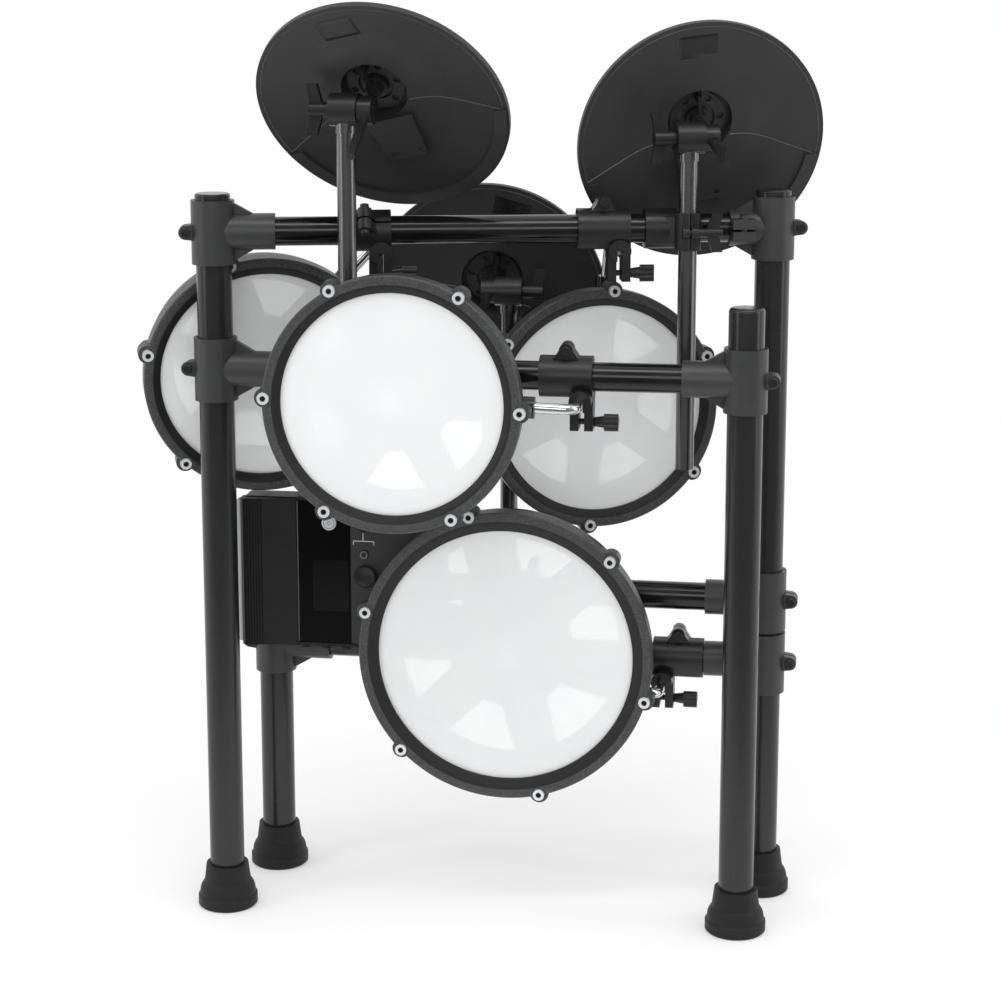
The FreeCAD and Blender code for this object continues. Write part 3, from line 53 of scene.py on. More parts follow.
Pair = tuple[float, float]
Pairs = Sequence[Pair]
Point = tuple[float, float, float]
Box = tuple[float, float, float, float]
Socket = bpy.types.NodeSocket
Material = bpy.types.Material
Piece = bpy.types.Object

MM = 0.001
TURN = 2 * math.pi
UP = np.array([0.0, 0.0, 1.0])
TOWARD_VIEWER = np.array([0.0, -1.0, 0.0])
BOTH_SIDES = (-1, 1)
WHITE = (1.0, 1.0, 1.0, 1.0)

PADS = ("center_tom", "right_tom", "left_tom", "snare")
CYMBALS = ("left", "right", "rear")
TOM_RIM = 124.0 * MM
SNARE_RIM = 149.0 * MM

NORMAL_DIGITS = 3  # normals that agree so far count as one direction
NORMAL_STEPS = 100  # steps of a normal that tell planes apart
PLANE_STEP = 0.2 * MM  # step of distance that tells planes apart
FILLED_PART = (0.85, 1.02)  # a round end's area against its circle's
REACHED_PART = (0.95, 1.05)  # a round end's reach against its radius
LEVEL_END = 0.9  # upward part of a normal past which an end counts as level

MERGE_DISTANCE = 1e-6
SLIVER = 1e-7
SHARP_ANGLE = 35.0
RIM_SHARP_ANGLE = 25.0
CORNER_STEPS = 6
SMALLEST_CORNER = 1e-5

WELD_DISTANCE = 2e-6
SMOOTH_ANGLE = 32.0
BEVEL_WIDTH = 0.45 * MM
BEVEL_ANGLE = 40.0

NOISE_RANGE = (0.3, 0.7)  # where most of a noise's values lie
MIX_SOCKETS = {"FLOAT": (2, 3, 0), "RGBA": (6, 7, 2)}  # a mix node's two inputs and its output


class Slot(Enum):
    """The record's material slots of the added pieces, listed but not given to them."""

    MESH = "mesh"
    FOAM = "foam"
    CYMBAL = "cymbal_rubber"
    STEEL = "black_steel"
    CASE = "case_plastic"
    PANEL = "panel_plastic"
    DIAL = "dial_plastic"
    CLAMP = "clamp_plastic"
    BOLT = "bolt_chrome"
    BUTTON = "button_plastic"


# Places and surfaces


def in_mm(*rows: Sequence[float]) -> tuple[tuple[float, ...], ...]:
    """Rows of millimetres, in metres."""
    return tuple(tuple(value * MM for value in row) for row in rows)


def unit(vector: np.ndarray) -> np.ndarray:
    """Scales a vector to length one."""
    return vector / np.linalg.norm(vector)


@dataclass(frozen=True)
class Axes:
    origin: np.ndarray
    x: np.ndarray
    y: np.ndarray
    z: np.ndarray

    @staticmethod
    def facing(origin: np.ndarray, out: np.ndarray, across: np.ndarray) -> "Axes":
        """Makes axes with z along out and x as near to across as it can be.

        Args:
            origin: The place's origin.
            out: The direction of z.
            across: A direction that x follows.

        Returns:
            Right-handed axes.
        """
        z = unit(out)
        x = unit(across - z * (across @ z))
        return Axes(np.asarray(origin, float), x, np.cross(z, x), z)

    @property
    def directions(self) -> np.ndarray:
        """The three directions, one row each."""
        return np.stack([self.x, self.y, self.z])

    def at(self, points: np.ndarray) -> np.ndarray:
        return self.origin + points @ self.directions

    def within(self, points: np.ndarray) -> np.ndarray:
        return (points - self.origin) @ self.directions.T

    def moved(self, x: float = 0.0, y: float = 0.0, z: float = 0.0) -> "Axes":
        """Moves the origin along the axes."""
        return replace(self, origin=self.at(np.array([x, y, z])))


def read(node: str, layer: str, key: str, width: int, kind: type = float) -> np.ndarray:
    """Reads one property of all vertices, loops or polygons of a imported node.

    Args:
        node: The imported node's name.
        layer: The name of the mesh's vertices, loops or polygons.
        key: The property's name.
        width: How many numbers each item has.
        kind: The type of the numbers.

    Returns:
        The numbers, one row for each item.
    """
    items = getattr(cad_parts[node].data, layer)
    found = np.empty(len(items) * width, kind)
    items.foreach_get(key, found)
    return found.reshape(-1, width)


def vertices_of(node: str) -> np.ndarray:
    """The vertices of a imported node, one row each."""
    return read(node, "vertices", "co", 3)


@dataclass(frozen=True)
class Faces:
    """Middles, normals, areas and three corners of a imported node's triangles, one row each."""

    middles: np.ndarray
    normals: np.ndarray
    areas: np.ndarray
    corners: np.ndarray


def faces_of(node: str) -> Faces:
    """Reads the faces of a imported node.

    Args:
        node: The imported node's name.

    Returns:
        Its faces.
    """
    corners = vertices_of(node)[read(node, "loops", "vertex_index", 1, np.int32)]
    return Faces(
        read(node, "polygons", "center", 3),
        read(node, "polygons", "normal", 3),
        read(node, "polygons", "area", 1).ravel(),
        corners.reshape(-1, 3, 3),
    )


def main_normal(node: str) -> np.ndarray:
    """Finds the direction on the viewer's side that most of a node's flat area faces.

    Args:
        node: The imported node's name.

    Returns:
        The unit direction.
    """
    faces = faces_of(node)
    rounded = np.round(faces.normals, NORMAL_DIGITS)
    ways, group = np.unique(rounded, axis=0, return_inverse=True)
    share = np.bincount(group.ravel(), faces.areas) * (ways @ TOWARD_VIEWER > 0)
    return unit(faces.normals[group.ravel() == np.argmax(share)].mean(0))


def flat_axes(node: str) -> Axes:
    """Finds the axes of a flat node: its extent's middle, z along its main normal, y upright.

    Args:
        node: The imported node's name.

    Returns:
        The node's own axes.
    """
    points = vertices_of(node)
    out = main_normal(node)
    axes = Axes.facing(points.mean(0), out, np.cross(UP, out))
    local = axes.within(points)
    return axes.moved(*((local.min(0) + local.max(0)) / 2))


def round_ends(node: str, radius: float) -> list[Axes]:
    """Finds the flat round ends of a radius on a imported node, such as bolt heads.

    Faces that share a plane are gathered round one of them, and kept where they fill a circle.

    Args:
        node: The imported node's name.
        radius: The ends' radius.

    Returns:
        Axes on each end, z outward.
    """
    faces = faces_of(node)
    level = np.einsum("ij,ij->i", faces.middles, faces.normals)
    planes = np.round(np.column_stack([faces.normals * NORMAL_STEPS, level / PLANE_STEP]))
    found = []
    for plane in np.unique(planes, axis=0):
        left = (planes == plane).all(1)
        while left.any():
            start = faces.middles[np.argmax(left)]
            near = left & (np.linalg.norm(faces.middles - start, axis=1) < 2 * radius)
            left &= ~near
            weight = faces.areas[near][:, None]
            middle = (faces.middles[near] * weight).sum(0) / weight.sum()
            filled = weight.sum() / (math.pi * radius**2)
            reach = np.linalg.norm(faces.corners[near] - middle, axis=2).max() / radius
            full = FILLED_PART[0] < filled < FILLED_PART[1]
            if full and REACHED_PART[0] < reach < REACHED_PART[1]:
                out = faces.normals[near].mean(0)
                across = UP if abs(unit(out) @ UP) < LEVEL_END else TOWARD_VIEWER
                found.append(Axes.facing(middle, out, across))
    return found


@dataclass(frozen=True)
class Surface:
    """The last row or column may join the first, and caps fill the first and last row.
    """

    points: np.ndarray
    close_rows: bool = False
    close_columns: bool = False
    caps: bool = False

    def faces(self) -> list[list[int]]:
        """Lists the four corner numbers of each cell of the grid, and the two caps.

        Returns:
            Corner numbers of each face.
        """
        rows, columns = self.points.shape[:2]
        number = np.arange(rows * columns).reshape(rows, columns)
        if self.close_rows:
            number = np.concatenate([number, number[:1]])
        if self.close_columns:
            number = np.concatenate([number, number[:, :1]], axis=1)
        corners = [number[:-1, :-1], number[:-1, 1:], number[1:, 1:], number[1:, :-1]]
        cells = np.stack(corners, axis=-1).reshape(-1, 4).tolist()
        if self.caps:
            cells += [number[0, :columns].tolist()[::-1], number[-1, :columns].tolist()]
        return cells


def make_piece(name: str, surfaces: list[Surface], sharp: float = SHARP_ANGLE) -> Piece:
    """Makes one mesh object of several grids, with its place in its mesh.

    Args:
        name: The piece's name.
        surfaces: The grids that it is made of.
        sharp: The angle in degrees past which an edge stays sharp.

    Returns:
        The new object, at the origin.
    """
    mesh = bpy.data.meshes.new(name)
    points = [surface.points.reshape(-1, 3) for surface in surfaces]
    starts = np.cumsum([0] + [len(part) for part in points]).tolist()
    faces = [
        [corner + start for corner in face]
        for surface, start in zip(surfaces, starts)
        for face in surface.faces()
    ]
    mesh.from_pydata(np.concatenate(points).tolist(), [], faces)
    work = bmesh.new()
    work.from_mesh(mesh)
    bmesh.ops.remove_doubles(work, verts=work.verts, dist=MERGE_DISTANCE)
    bmesh.ops.dissolve_degenerate(work, edges=work.edges, dist=SLIVER)
    bmesh.ops.recalc_face_normals(work, faces=work.faces)
    work.to_mesh(mesh)
    work.free()
    mesh.shade_smooth()
    mesh.set_sharp_from_angle(angle=math.radians(sharp))
    piece = bpy.data.objects.new(name, mesh)
    bpy.context.scene.collection.objects.link(piece)
    return piece


def coat(piece: Piece, material: Material) -> None:
    """Gives a piece one material."""
    piece.data.materials.clear()
    piece.data.materials.append(material)


def add_piece(
    name: str,
    surfaces: list[Surface],
    material: Material,
    body: str,
    sharp: float = SHARP_ANGLE,
) -> Piece:
    """Makes one piece with its finish and body.

    Args:
        name: The piece's name.
        surfaces: The grids that it is made of.
        material: Its finish.
        body: The body that carries it.
        sharp: The angle in degrees past which an edge stays sharp.

    Returns:
        The piece.
    """
    piece = make_piece(name, surfaces, sharp)
    coat(piece, material)
    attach(piece, body)
    return piece


def turn_steps(count: int) -> np.ndarray:
    """Angles of a full turn, without its end."""
    return np.arange(count) * TURN / count


def around(radius: np.ndarray, height: np.ndarray, steps: int) -> np.ndarray:
    """Points round z: x and y are the radius times the cosine and sine of each angle of a turn.

    Args:
        radius: Radii of the profile's points, one row for all angles or one for each.
        height: Heights of the profile's points.
        steps: How many points go round.

    Returns:
        Points, angles by profile points by three.
    """
    angle = turn_steps(steps)[:, None]
    parts = (radius * np.cos(angle), radius * np.sin(angle), height + 0 * angle)
    return np.stack(np.broadcast_arrays(*parts), -1)


def turned(profile: Pairs, axes: Axes, steps: int = 48, closed: bool = False) -> Surface:
    """A surface of revolution: each profile point goes round the axes' z.

    Args:
        profile: Radii and heights in metres.
        axes: Where the surface stands.
        steps: How many points go round.
        closed: Whether the profile's end joins its start.

    Returns:
        The grid, angles by profile points.
    """
    radius, height = np.array(profile, float).T
    return Surface(axes.at(around(radius, height, steps)), True, closed)


def carried(path: np.ndarray, side: np.ndarray, profile: Pairs) -> Surface:
    """A profile carried along a path: each point is the path plus the profile's two offsets.

    The first offset is along side, and the second is square to side and to the path.

    Args:
        path: Points along the path.
        side: A unit direction.
        profile: Offsets in metres, a closed outline.

    Returns:
        The grid, path points by profile points, with capped ends.
    """
    ahead = np.gradient(path, axis=0)
    ahead = ahead / np.linalg.norm(ahead, axis=1, keepdims=True)
    normal = np.cross(side, ahead)
    first, second = np.array(profile, float).T[..., None]
    return Surface(path[:, None] + first * side + second * normal[:, None], False, True, True)


def rounded_outline(width: float, height: float, corner: float) -> np.ndarray:
    """A rectangle with round corners: four quarter circles about the inner corners.

    Args:
        width: The size along x.
        height: The size along y.
        corner: The corners' radius.

    Returns:
        Points anticlockwise, one row each.
    """
    angle = (np.arange(4)[:, None] + np.linspace(0, 1, CORNER_STEPS)) * TURN / 4
    signs = np.array([[1, 1], [-1, 1], [-1, -1], [1, -1]])[:, None]
    inner = signs * np.array([width / 2, height / 2])
    inner = inner - np.sign(inner) * corner
    return (inner + corner * np.stack([np.cos(angle), np.sin(angle)], -1)).reshape(-1, 2)


def plate(width: float, height: float, corner: float, levels: Pairs, axes: Axes) -> Surface:
    """A plate with round corners: its outline is drawn in by an inset at each level.

    Args:
        width: The size along x.
        height: The size along y.
        corner: The corners' radius.
        levels: Insets and heights from the bottom up.
        axes: Where the plate lies.

    Returns:
        The grid, levels by outline points, with capped ends.
    """
    rings = []
    for inset, level in levels:
        rounding = max(corner - inset, SMALLEST_CORNER)
        ring = rounded_outline(width - 2 * inset, height - 2 * inset, rounding)
        rings.append(np.column_stack([ring, np.full(len(ring), level)]))
    return Surface(axes.at(np.stack(rings)), False, True, True)


def socket_rim(
    axes: Axes, outer: float, inner: float, rise: float, floor: float, ease: float = 0.3 * MM
) -> Surface:
    """A rim from a circle outside to a hexagon inside, then down to the socket's floor.

    The hexagon's radius is its flats' distance over the cosine of the angle from a flat's middle.

    Args:
        axes: The bolt's flat end.
        outer: The circle's radius.
        inner: The hexagon's radius to its corners.
        rise: How far the rim stands on the end.
        floor: The level of the socket's floor, from the end.
        ease: How far the hexagon's edge is drawn in.

    Returns:
        The grid, angles by profile points.
    """
    steps, sector = 48, TURN / 6
    aside = np.mod(turn_steps(steps), sector)[:, None] - sector / 2
    hexagon = math.cos(sector / 2) / np.cos(aside)
    rings = [(outer, 0.0, 0), (outer, rise / 2, 0), (outer - rise / 2, rise, 0)]
    rings += [(inner + ease, rise, 1), (inner, rise - ease, 1), (inner, floor, 1), (0.0, floor, 1)]
    base, height, six = np.array(rings).T
    return Surface(axes.at(around(base * np.where(six, hexagon, 1.0), height, steps)), True)


# Materials


def tint(level: float, blue: float = 1.0) -> Box:
    """A grey of a linear level, with its blue raised or lowered."""
    return (level, level * (1 + blue) / 2, level * blue, 1.0)


class Nodes:
    """A node tree, with short ways to add and join its nodes."""

    def __init__(self, tree: bpy.types.NodeTree, coordinates: str = "Object") -> None:
        """Keeps the tree and adds the coordinates that its patterns follow."""
        self.tree = tree
        self.place = tree.nodes.new("ShaderNodeTexCoord").outputs[coordinates]

    def add(self, kind: str, **values: object) -> bpy.types.Node:
        """Adds a node and sets its properties and inputs.

        Args:
            kind: The node's type after "ShaderNode".
            **values: Properties by name, or inputs by name with spaces as underscores.

        Returns:
            The node.
        """
        node = self.tree.nodes.new("ShaderNode" + kind)
        for key, value in values.items():
            if hasattr(node, key):
                setattr(node, key, value)
            else:
                self.feed(node.inputs[key.replace("_", " ")], value)
        return node

    def feed(self, socket: Socket, value: object) -> None:
        """Joins an output to a socket, or sets the socket's value.

        Args:
            socket: The input.
            value: An output, or the input's own value.
        """
        if isinstance(value, Socket):
            self.tree.links.new(value, socket)
        else:
            socket.default_value = value

    def fed(self, node: bpy.types.Node, *values: object) -> bpy.types.Node:
        """Feeds a node's inputs in order.

        Args:
            node: The node.
            *values: Outputs or values, the first input's first.

        Returns:
            The node.
        """
        for socket, value in zip(node.inputs, values):
            self.feed(socket, value)
        return node

    def math(self, operation: str, *values: object) -> Socket:
        """The result of a math node."""
        return self.fed(self.add("Math", operation=operation), *values).outputs[0]

    def vector(self, operation: str, *values: object, output: str = "Value") -> Socket:
        """The result of a vector math node."""
        return self.fed(self.add("VectorMath", operation=operation), *values).outputs[output]

    def part(self, index: int, where: Socket | None = None) -> Socket:
        """One coordinate of a place: 0 for x, 1 for y and 2 for z."""
        return self.add("SeparateXYZ", Vector=where or self.place).outputs[index]

    def noise(self, scale: float, detail: float = 2.0) -> Socket:
        """The value of a noise with so many features to a metre."""
        return self.add("TexNoise", Scale=scale, Detail=detail, Vector=self.place).outputs["Fac"]

    def between(
        self, value: Socket, start: float, end: float, low: float = 0.0, high: float = 1.0
    ) -> Socket:
        """Maps a value from low and high to start and end, and keeps it between them.

        Args:
            value: The value.
            start: The result at low.
            end: The result at high.
            low: The value's lower bound.
            high: The value's upper bound.

        Returns:
            The result.
        """
        bounds = {"From_Min": low, "From_Max": high, "To_Min": start, "To_Max": end}
        return self.add("MapRange", Value=value, **bounds).outputs[0]

    def past(self, value: Socket, edge: float, half: float) -> Socket:
        """Goes from 0 to 1 where a value passes an edge, over half a width on either side."""
        return self.between(value, 0.0, 1.0, edge - half, edge + half)

    def mix(self, share: Socket, first: object, second: object, kind: str = "RGBA") -> Socket:
        """Mixes two colours or two numbers.

        Args:
            share: The second one's share.
            first: A colour or number.
            second: Another.
            kind: The mix node's data type, "RGBA" or "FLOAT".

        Returns:
            The mixed colour or number.
        """
        node = self.add("Mix", data_type=kind)
        before, after, result = MIX_SOCKETS[kind]
        for index, value in ((0, share), (before, first), (after, second)):
            self.feed(node.inputs[index], value)
        return node.outputs[result]

    def mottled(self, share: Socket, level: float, parts: Pair, blue: float = 1.0) -> Socket:
        """A grey that runs between two parts of a level."""
        low, high = (tint(level * part, blue) for part in parts)
        return self.mix(share, low, high)

    def local(self, axes: Axes) -> Socket:
        """The place in the given axes: its offset from their origin along each of them.

        Args:
            axes: The axes.

        Returns:
            The place.
        """
        offset = self.vector("SUBTRACT", self.place, tuple(axes.origin), output="Vector")
        parts = [self.vector("DOT_PRODUCT", offset, tuple(row)) for row in axes.directions]
        return self.fed(self.add("CombineXYZ"), *parts).outputs[0]


class Coating(Nodes):
    """The node tree of a new material, round its surface shader."""

    def __init__(self, name: str) -> None:
        """Makes a material with only a surface shader."""
        self.material = bpy.data.materials.new(name)
        self.material.use_nodes = True
        super().__init__(self.material.node_tree)
        self.shader = self.tree.nodes["Principled BSDF"]

    def set(self, **values: object) -> None:
        """Sets or feeds the shader's inputs by name."""
        for key, value in values.items():
            self.feed(self.shader.inputs[key.replace("_", " ")], value)

    def bump(self, height: Socket, depth: float) -> None:
        """Raises the surface by a height of so many metres."""
        raised = self.add("Bump", Height=height, Distance=depth)
        self.feed(self.shader.inputs["Normal"], raised.outputs[0])


@dataclass(frozen=True)
class Grain:
    """A rigid coat: a mottled colour, uneven gloss and a fine raised grain."""

    name: str
    level: float
    roughness: float
    blue: float = 1.05
    mottle: float = 0.16
    rough_spread: float = 0.08
    grain: float = 2600.0
    depth: float = 0.05 * MM
    metallic: float = 0.0
    specular: float = 0.5
    patches: float = 38.0
    patch_detail: float = 3.0

    def material(self) -> Material:
        """Builds the node material.

        Returns:
            The material.
        """
        nodes = Coating(self.name)
        broad = nodes.noise(self.patches, self.patch_detail)
        share = nodes.between(broad, 0.0, 1.0, *NOISE_RANGE)
        parts = (1 - self.mottle, 1 + self.mottle)
        low, high = self.roughness - self.rough_spread, self.roughness + self.rough_spread
        nodes.set(
            Base_Color=nodes.mottled(share, self.level, parts, self.blue),
            Metallic=self.metallic,
            Specular_IOR_Level=self.specular,
            Roughness=nodes.between(broad, low, high, *NOISE_RANGE),
        )
        nodes.bump(nodes.noise(self.grain), self.depth)
        return nodes.material


@dataclass(frozen=True)
class Chrome:
    """Bright plated steel with faint smears in its gloss."""

    name: str
    level: float = 0.70
    blue: float = 1.02
    parts: Pair = (0.96, 1.04)
    roughness: Pair = (0.09, 0.198)
    smears: float = 120.0
    smear_detail: float = 4.0
    grain: float = 900.0
    depth: float = 0.01 * MM

    def material(self) -> Material:
        """Builds the node material.

        Returns:
            The material.
        """
        nodes = Coating(self.name)
        smear = nodes.noise(self.smears, self.smear_detail)
        nodes.set(
            Base_Color=nodes.mottled(smear, self.level, self.parts, self.blue),
            Metallic=1.0,
            Roughness=nodes.between(smear, *self.roughness, *NOISE_RANGE),
        )
        nodes.bump(nodes.noise(self.grain), self.depth)
        return nodes.material


@dataclass(frozen=True)
class BoomCoat:
    """A boom's coat: a satin metal tube, and a black moulded ring above the split's height."""

    name: str
    split: float
    split_half: float = 0.1 * MM
    metal_level: float = 0.20
    metal_parts: Pair = (0.95, 1.05)
    ring_level: float = 0.010
    roughness: Pair = (0.26, 0.38)
    smears: float = 60.0
    grain: float = 2400.0
    depth: float = 0.01 * MM

    def material(self) -> Material:
        """Builds the node material.

        Returns:
            The material.
        """
        nodes = Coating(self.name)
        ring = nodes.past(nodes.part(2), self.split, self.split_half)
        metal = nodes.mottled(nodes.noise(self.smears), self.metal_level, self.metal_parts)
        nodes.set(
            Base_Color=nodes.mix(ring, metal, tint(self.ring_level)),
            Metallic=nodes.between(ring, 1.0, 0.0),
            Roughness=nodes.between(ring, *self.roughness),
        )
        nodes.bump(nodes.noise(self.grain), self.depth)
        return nodes.material


@dataclass(frozen=True)
class HoopCoat:
    """A hoop's coat: a speckled outer face and a smoother, darker slope down to the head."""

    name: str
    edge: float
    edge_half: float = 0.4 * MM
    level: float = 0.026
    speckle: float = 0.12
    blue: float = 1.05
    cells: float = 2000.0
    spots: Pair = (0.5, 0.95)
    slope_level: float = 0.006
    slope_parts: Pair = (0.8, 1.25)
    patches: float = 30.0
    patch_detail: float = 3.0
    roughness: Pair = (0.5, 0.42)
    grain: float = 2600.0
    grain_parts: Pair = (0.25, 1.0)
    depth: float = 0.06 * MM

    def material(self, axes: Axes) -> Material:
        """Builds the node material about one pad; gloss and grain go from the slope to the face.

        Args:
            axes: The pad's own axes.

        Returns:
            The material.
        """
        nodes = Coating(self.name)
        flat = nodes.vector("MULTIPLY", nodes.local(axes), (1.0, 1.0, 0.0), output="Vector")
        outer = nodes.past(nodes.vector("LENGTH", flat), self.edge, self.edge_half)
        cells = nodes.add("TexVoronoi", Scale=self.cells, Vector=nodes.place)
        spot = nodes.between(cells.outputs["Color"], 0.0, 1.0, *self.spots)
        face = nodes.mix(spot, tint(self.level, self.blue), tint(self.speckle, self.blue))
        broad = nodes.noise(self.patches, self.patch_detail)
        slope = nodes.mottled(broad, self.slope_level, self.slope_parts)
        nodes.set(
            Base_Color=nodes.mix(outer, slope, face),
            Roughness=nodes.between(outer, *self.roughness),
        )
        share = nodes.between(outer, *self.grain_parts)
        nodes.bump(nodes.math("MULTIPLY", nodes.noise(self.grain), share), self.depth)
        return nodes.material


@dataclass(frozen=True)
class MeshCloth:
    """Woven white mesh that lets some light and shape through.

    Low and high are a part of the level and a blue each.
    """

    name: str
    cover: float
    cover_less: float = 0.12
    cover_more: float = 0.10
    pitch: float = 0.9 * MM
    level: float = 0.90
    low: Pair = (0.97, 1.02)
    high: Pair = (1.02, 1.01)
    patches: float = 22.0
    roughness: Pair = (0.62, 0.5)
    depth: float = 0.05 * MM

    def material(self, axes: Axes) -> Material:
        """Builds the node material with its threads along the pad's axes.

        Args:
            axes: The pad's own axes.

        Returns:
            The material.
        """
        nodes = Coating(self.name)
        where = nodes.local(axes)
        weave = nodes.math("MAXIMUM", *(self.thread(nodes, nodes.part(i, where)) for i in (0, 1)))
        tints = [tint(self.level * part, blue) for part, blue in (self.low, self.high)]
        cover = (self.cover - self.cover_less, self.cover + self.cover_more)
        nodes.set(
            Base_Color=nodes.mix(nodes.noise(self.patches), *tints),
            Roughness=nodes.between(weave, *self.roughness),
            Alpha=nodes.between(weave, *cover),
        )
        nodes.bump(weave, self.depth)
        return nodes.material

    def thread(self, nodes: Nodes, along: Socket) -> Socket:
        """A row of threads: half a sine wave for each pitch."""
        wave = nodes.math("SINE", nodes.math("MULTIPLY", along, math.pi / self.pitch))
        return nodes.math("ABSOLUTE", wave)


@dataclass(frozen=True)
class PanelCoat:
    """The module's front: a gloss strip beside a fine matte field."""

    name: str
    split: float
    split_half: float = 0.1 * MM
    gloss_level: float = 0.002
    gloss_parts: Pair = (0.8, 1.2)
    gloss_blue: float = 1.1
    matte_level: float = 0.026
    matte_parts: Pair = (0.85, 1.15)
    matte_blue: float = 1.05
    patches: float = 60.0
    patch_detail: float = 3.0
    roughness: Pair = (0.06, 0.5)
    specular: Pair = (0.15, 0.5)
    grain: float = 3000.0
    depth: float = 0.04 * MM

    def material(self, axes: Axes) -> Material:
        """Builds the node material about the panel; gloss goes from the strip to the field.

        Args:
            axes: The panel's own axes.

        Returns:
            The material.
        """
        nodes = Coating(self.name)
        matte = nodes.past(nodes.part(0, nodes.local(axes)), self.split, self.split_half)
        broad = nodes.noise(self.patches, self.patch_detail)
        strip = nodes.mottled(broad, self.gloss_level, self.gloss_parts, self.gloss_blue)
        field = nodes.mottled(broad, self.matte_level, self.matte_parts, self.matte_blue)
        nodes.set(
            Base_Color=nodes.mix(matte, strip, field),
            Roughness=nodes.between(matte, *self.roughness),
            Specular_IOR_Level=nodes.between(matte, *self.specular),
        )
        nodes.bump(nodes.math("MULTIPLY", nodes.noise(self.grain), matte), self.depth)
        return nodes.material


class Finish(Enum):
    """The finishes that are the same all over a piece."""

    POST = Grain("post_powder_coat", 0.014, 0.22, mottle=0.04, rough_spread=0.02, depth=0.03 * MM)
    TEE = Grain("tee_plastic", 0.032, 0.38, mottle=0.06, rough_spread=0.03)
    TUBE = Grain("tube_gloss_paint", 0.004, 0.16, grain=320.0, depth=0.01 * MM)
    CLAMP = Grain("clamp_plastic", 0.010, 0.36, grain=2400.0, depth=0.06 * MM)
    RUBBER = Grain("foot_rubber", 0.007, 0.56, grain=1500.0, depth=0.08 * MM, specular=0.35)
    SHELL = Grain("shell_gloss", 0.006, 0.20, grain=400.0, depth=0.01 * MM)
    CYMBAL = Grain(
        "cymbal_rubber", 0.022, 0.46, blue=1.0, mottle=0.05, rough_spread=0.03, grain=1700.0
    )
    # The seam and rim beads are a lighter grey than the cymbal rubber: a painted highlight along
    # their raised edges.
    SEAM_PAINTED_HIGHLIGHT = Grain("cymbal_seam_painted_highlight", 0.05, 0.34, blue=1.0, grain=1700.0, depth=0.02 * MM)
    STEEL = Grain("black_steel", 0.010, 0.32, grain=900.0, depth=0.03 * MM)
    NUT = Grain("nut_plastic", 0.008, 0.36, grain=2200.0, depth=0.04 * MM)
    CASE = Grain("case_plastic", 0.008, 0.46, depth=0.08 * MM, specular=0.35)
    EDGE = Grain("case_edge", 0.42, 0.40, mottle=0.05, depth=0.02 * MM)
    TRIM = Grain("case_trim", 0.10, 0.35, mottle=0.06, depth=0.02 * MM)
    DIAL = Grain("dial_plastic", 0.008, 0.40, grain=2200.0)
    BUTTON = Grain("button_grey", 0.52, 0.40, blue=1.04, mottle=0.04)
    KEY = Grain("key_black", 0.006, 0.38, depth=0.04 * MM)
    KEY_RING = Grain("key_ring_grey", 0.16, 0.45, mottle=0.05)
    FOAM = Grain("sensor_foam", 0.70, 0.85, grain=900.0, depth=0.5 * MM, mottle=0.3)
    LINE = Grain("printed_line", 0.62, 0.5, blue=1.02, mottle=0.05, grain=4000.0)
    GLASS = Grain("display_glass", 0.004, 0.05, grain=60.0, depth=0.002 * MM, specular=0.25)
    CHROME = Chrome("chrome_plate")
    BOLT = Grain("bolt_nickel", 0.72, 0.30, mottle=0.04, depth=0.01 * MM, metallic=0.45)
    LABEL = Grain("label_film", 0.008, 0.26, depth=0.01 * MM)

    @cached_property
    def material(self) -> Material:
        """The finish's material, built at its first use."""
        return self.value.material()


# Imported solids


def smoothing_group() -> bpy.types.NodeTree:
    """A node group that joins loose triangles and keeps only steep edges sharp.

    Returns:
        The group, made once.
    """
    name = "joined_and_smooth"
    if name in bpy.data.node_groups:
        return bpy.data.node_groups[name]
    tree = bpy.data.node_groups.new(name, "GeometryNodeTree")
    for way in ("INPUT", "OUTPUT"):
        tree.interface.new_socket("Geometry", in_out=way, socket_type="NodeSocketGeometry")
    start = tree.nodes.new("NodeGroupInput")
    bare = tree.nodes.new("GeometryNodeRemoveAttribute")
    bare.inputs["Name"].default_value = "custom_normal"
    weld = tree.nodes.new("GeometryNodeMergeByDistance")
    weld.inputs["Distance"].default_value = WELD_DISTANCE
    faces = tree.nodes.new("GeometryNodeSetShadeSmooth")
    edges = tree.nodes.new("GeometryNodeSetShadeSmooth")
    edges.domain = "EDGE"
    end = tree.nodes.new("NodeGroupOutput")
    chain = [start, bare, weld, faces, edges, end]
    for first, second in zip(chain, chain[1:]):
        tree.links.new(first.outputs["Geometry"], second.inputs["Geometry"])
    angle = tree.nodes.new("GeometryNodeInputMeshEdgeAngle")
    smooth = tree.nodes.new("FunctionNodeCompare")
    smooth.operation = "LESS_THAN"
    smooth.inputs[1].default_value = math.radians(SMOOTH_ANGLE)
    tree.links.new(angle.outputs["Unsigned Angle"], smooth.inputs[0])
    tree.links.new(smooth.outputs[0], edges.inputs["Shade Smooth"])
    return tree


def soften(piece: Piece) -> None:
    """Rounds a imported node's steep edges a little, as moulded and turned pieces have them.

    Args:
        piece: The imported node.
    """
    smooth = piece.modifiers.new("joined", "NODES")
    smooth.node_group = smoothing_group()
    bevel = piece.modifiers.new("soft_edges", "BEVEL")
    bevel.width = BEVEL_WIDTH
    bevel.segments = 2
    bevel.limit_method = "ANGLE"
    bevel.angle_limit = math.radians(BEVEL_ANGLE)
    bevel.harden_normals = True
    bevel.use_clamp_overlap = True


def dress_node(node: str, material: Material) -> None:
    """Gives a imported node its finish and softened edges.

    Args:
        node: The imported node's name.
        material: Its finish.
    """
    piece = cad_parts[node]
    coat(piece, material)
    soften(piece)
    LOG.info("dressed %s with %s", node, material.name)


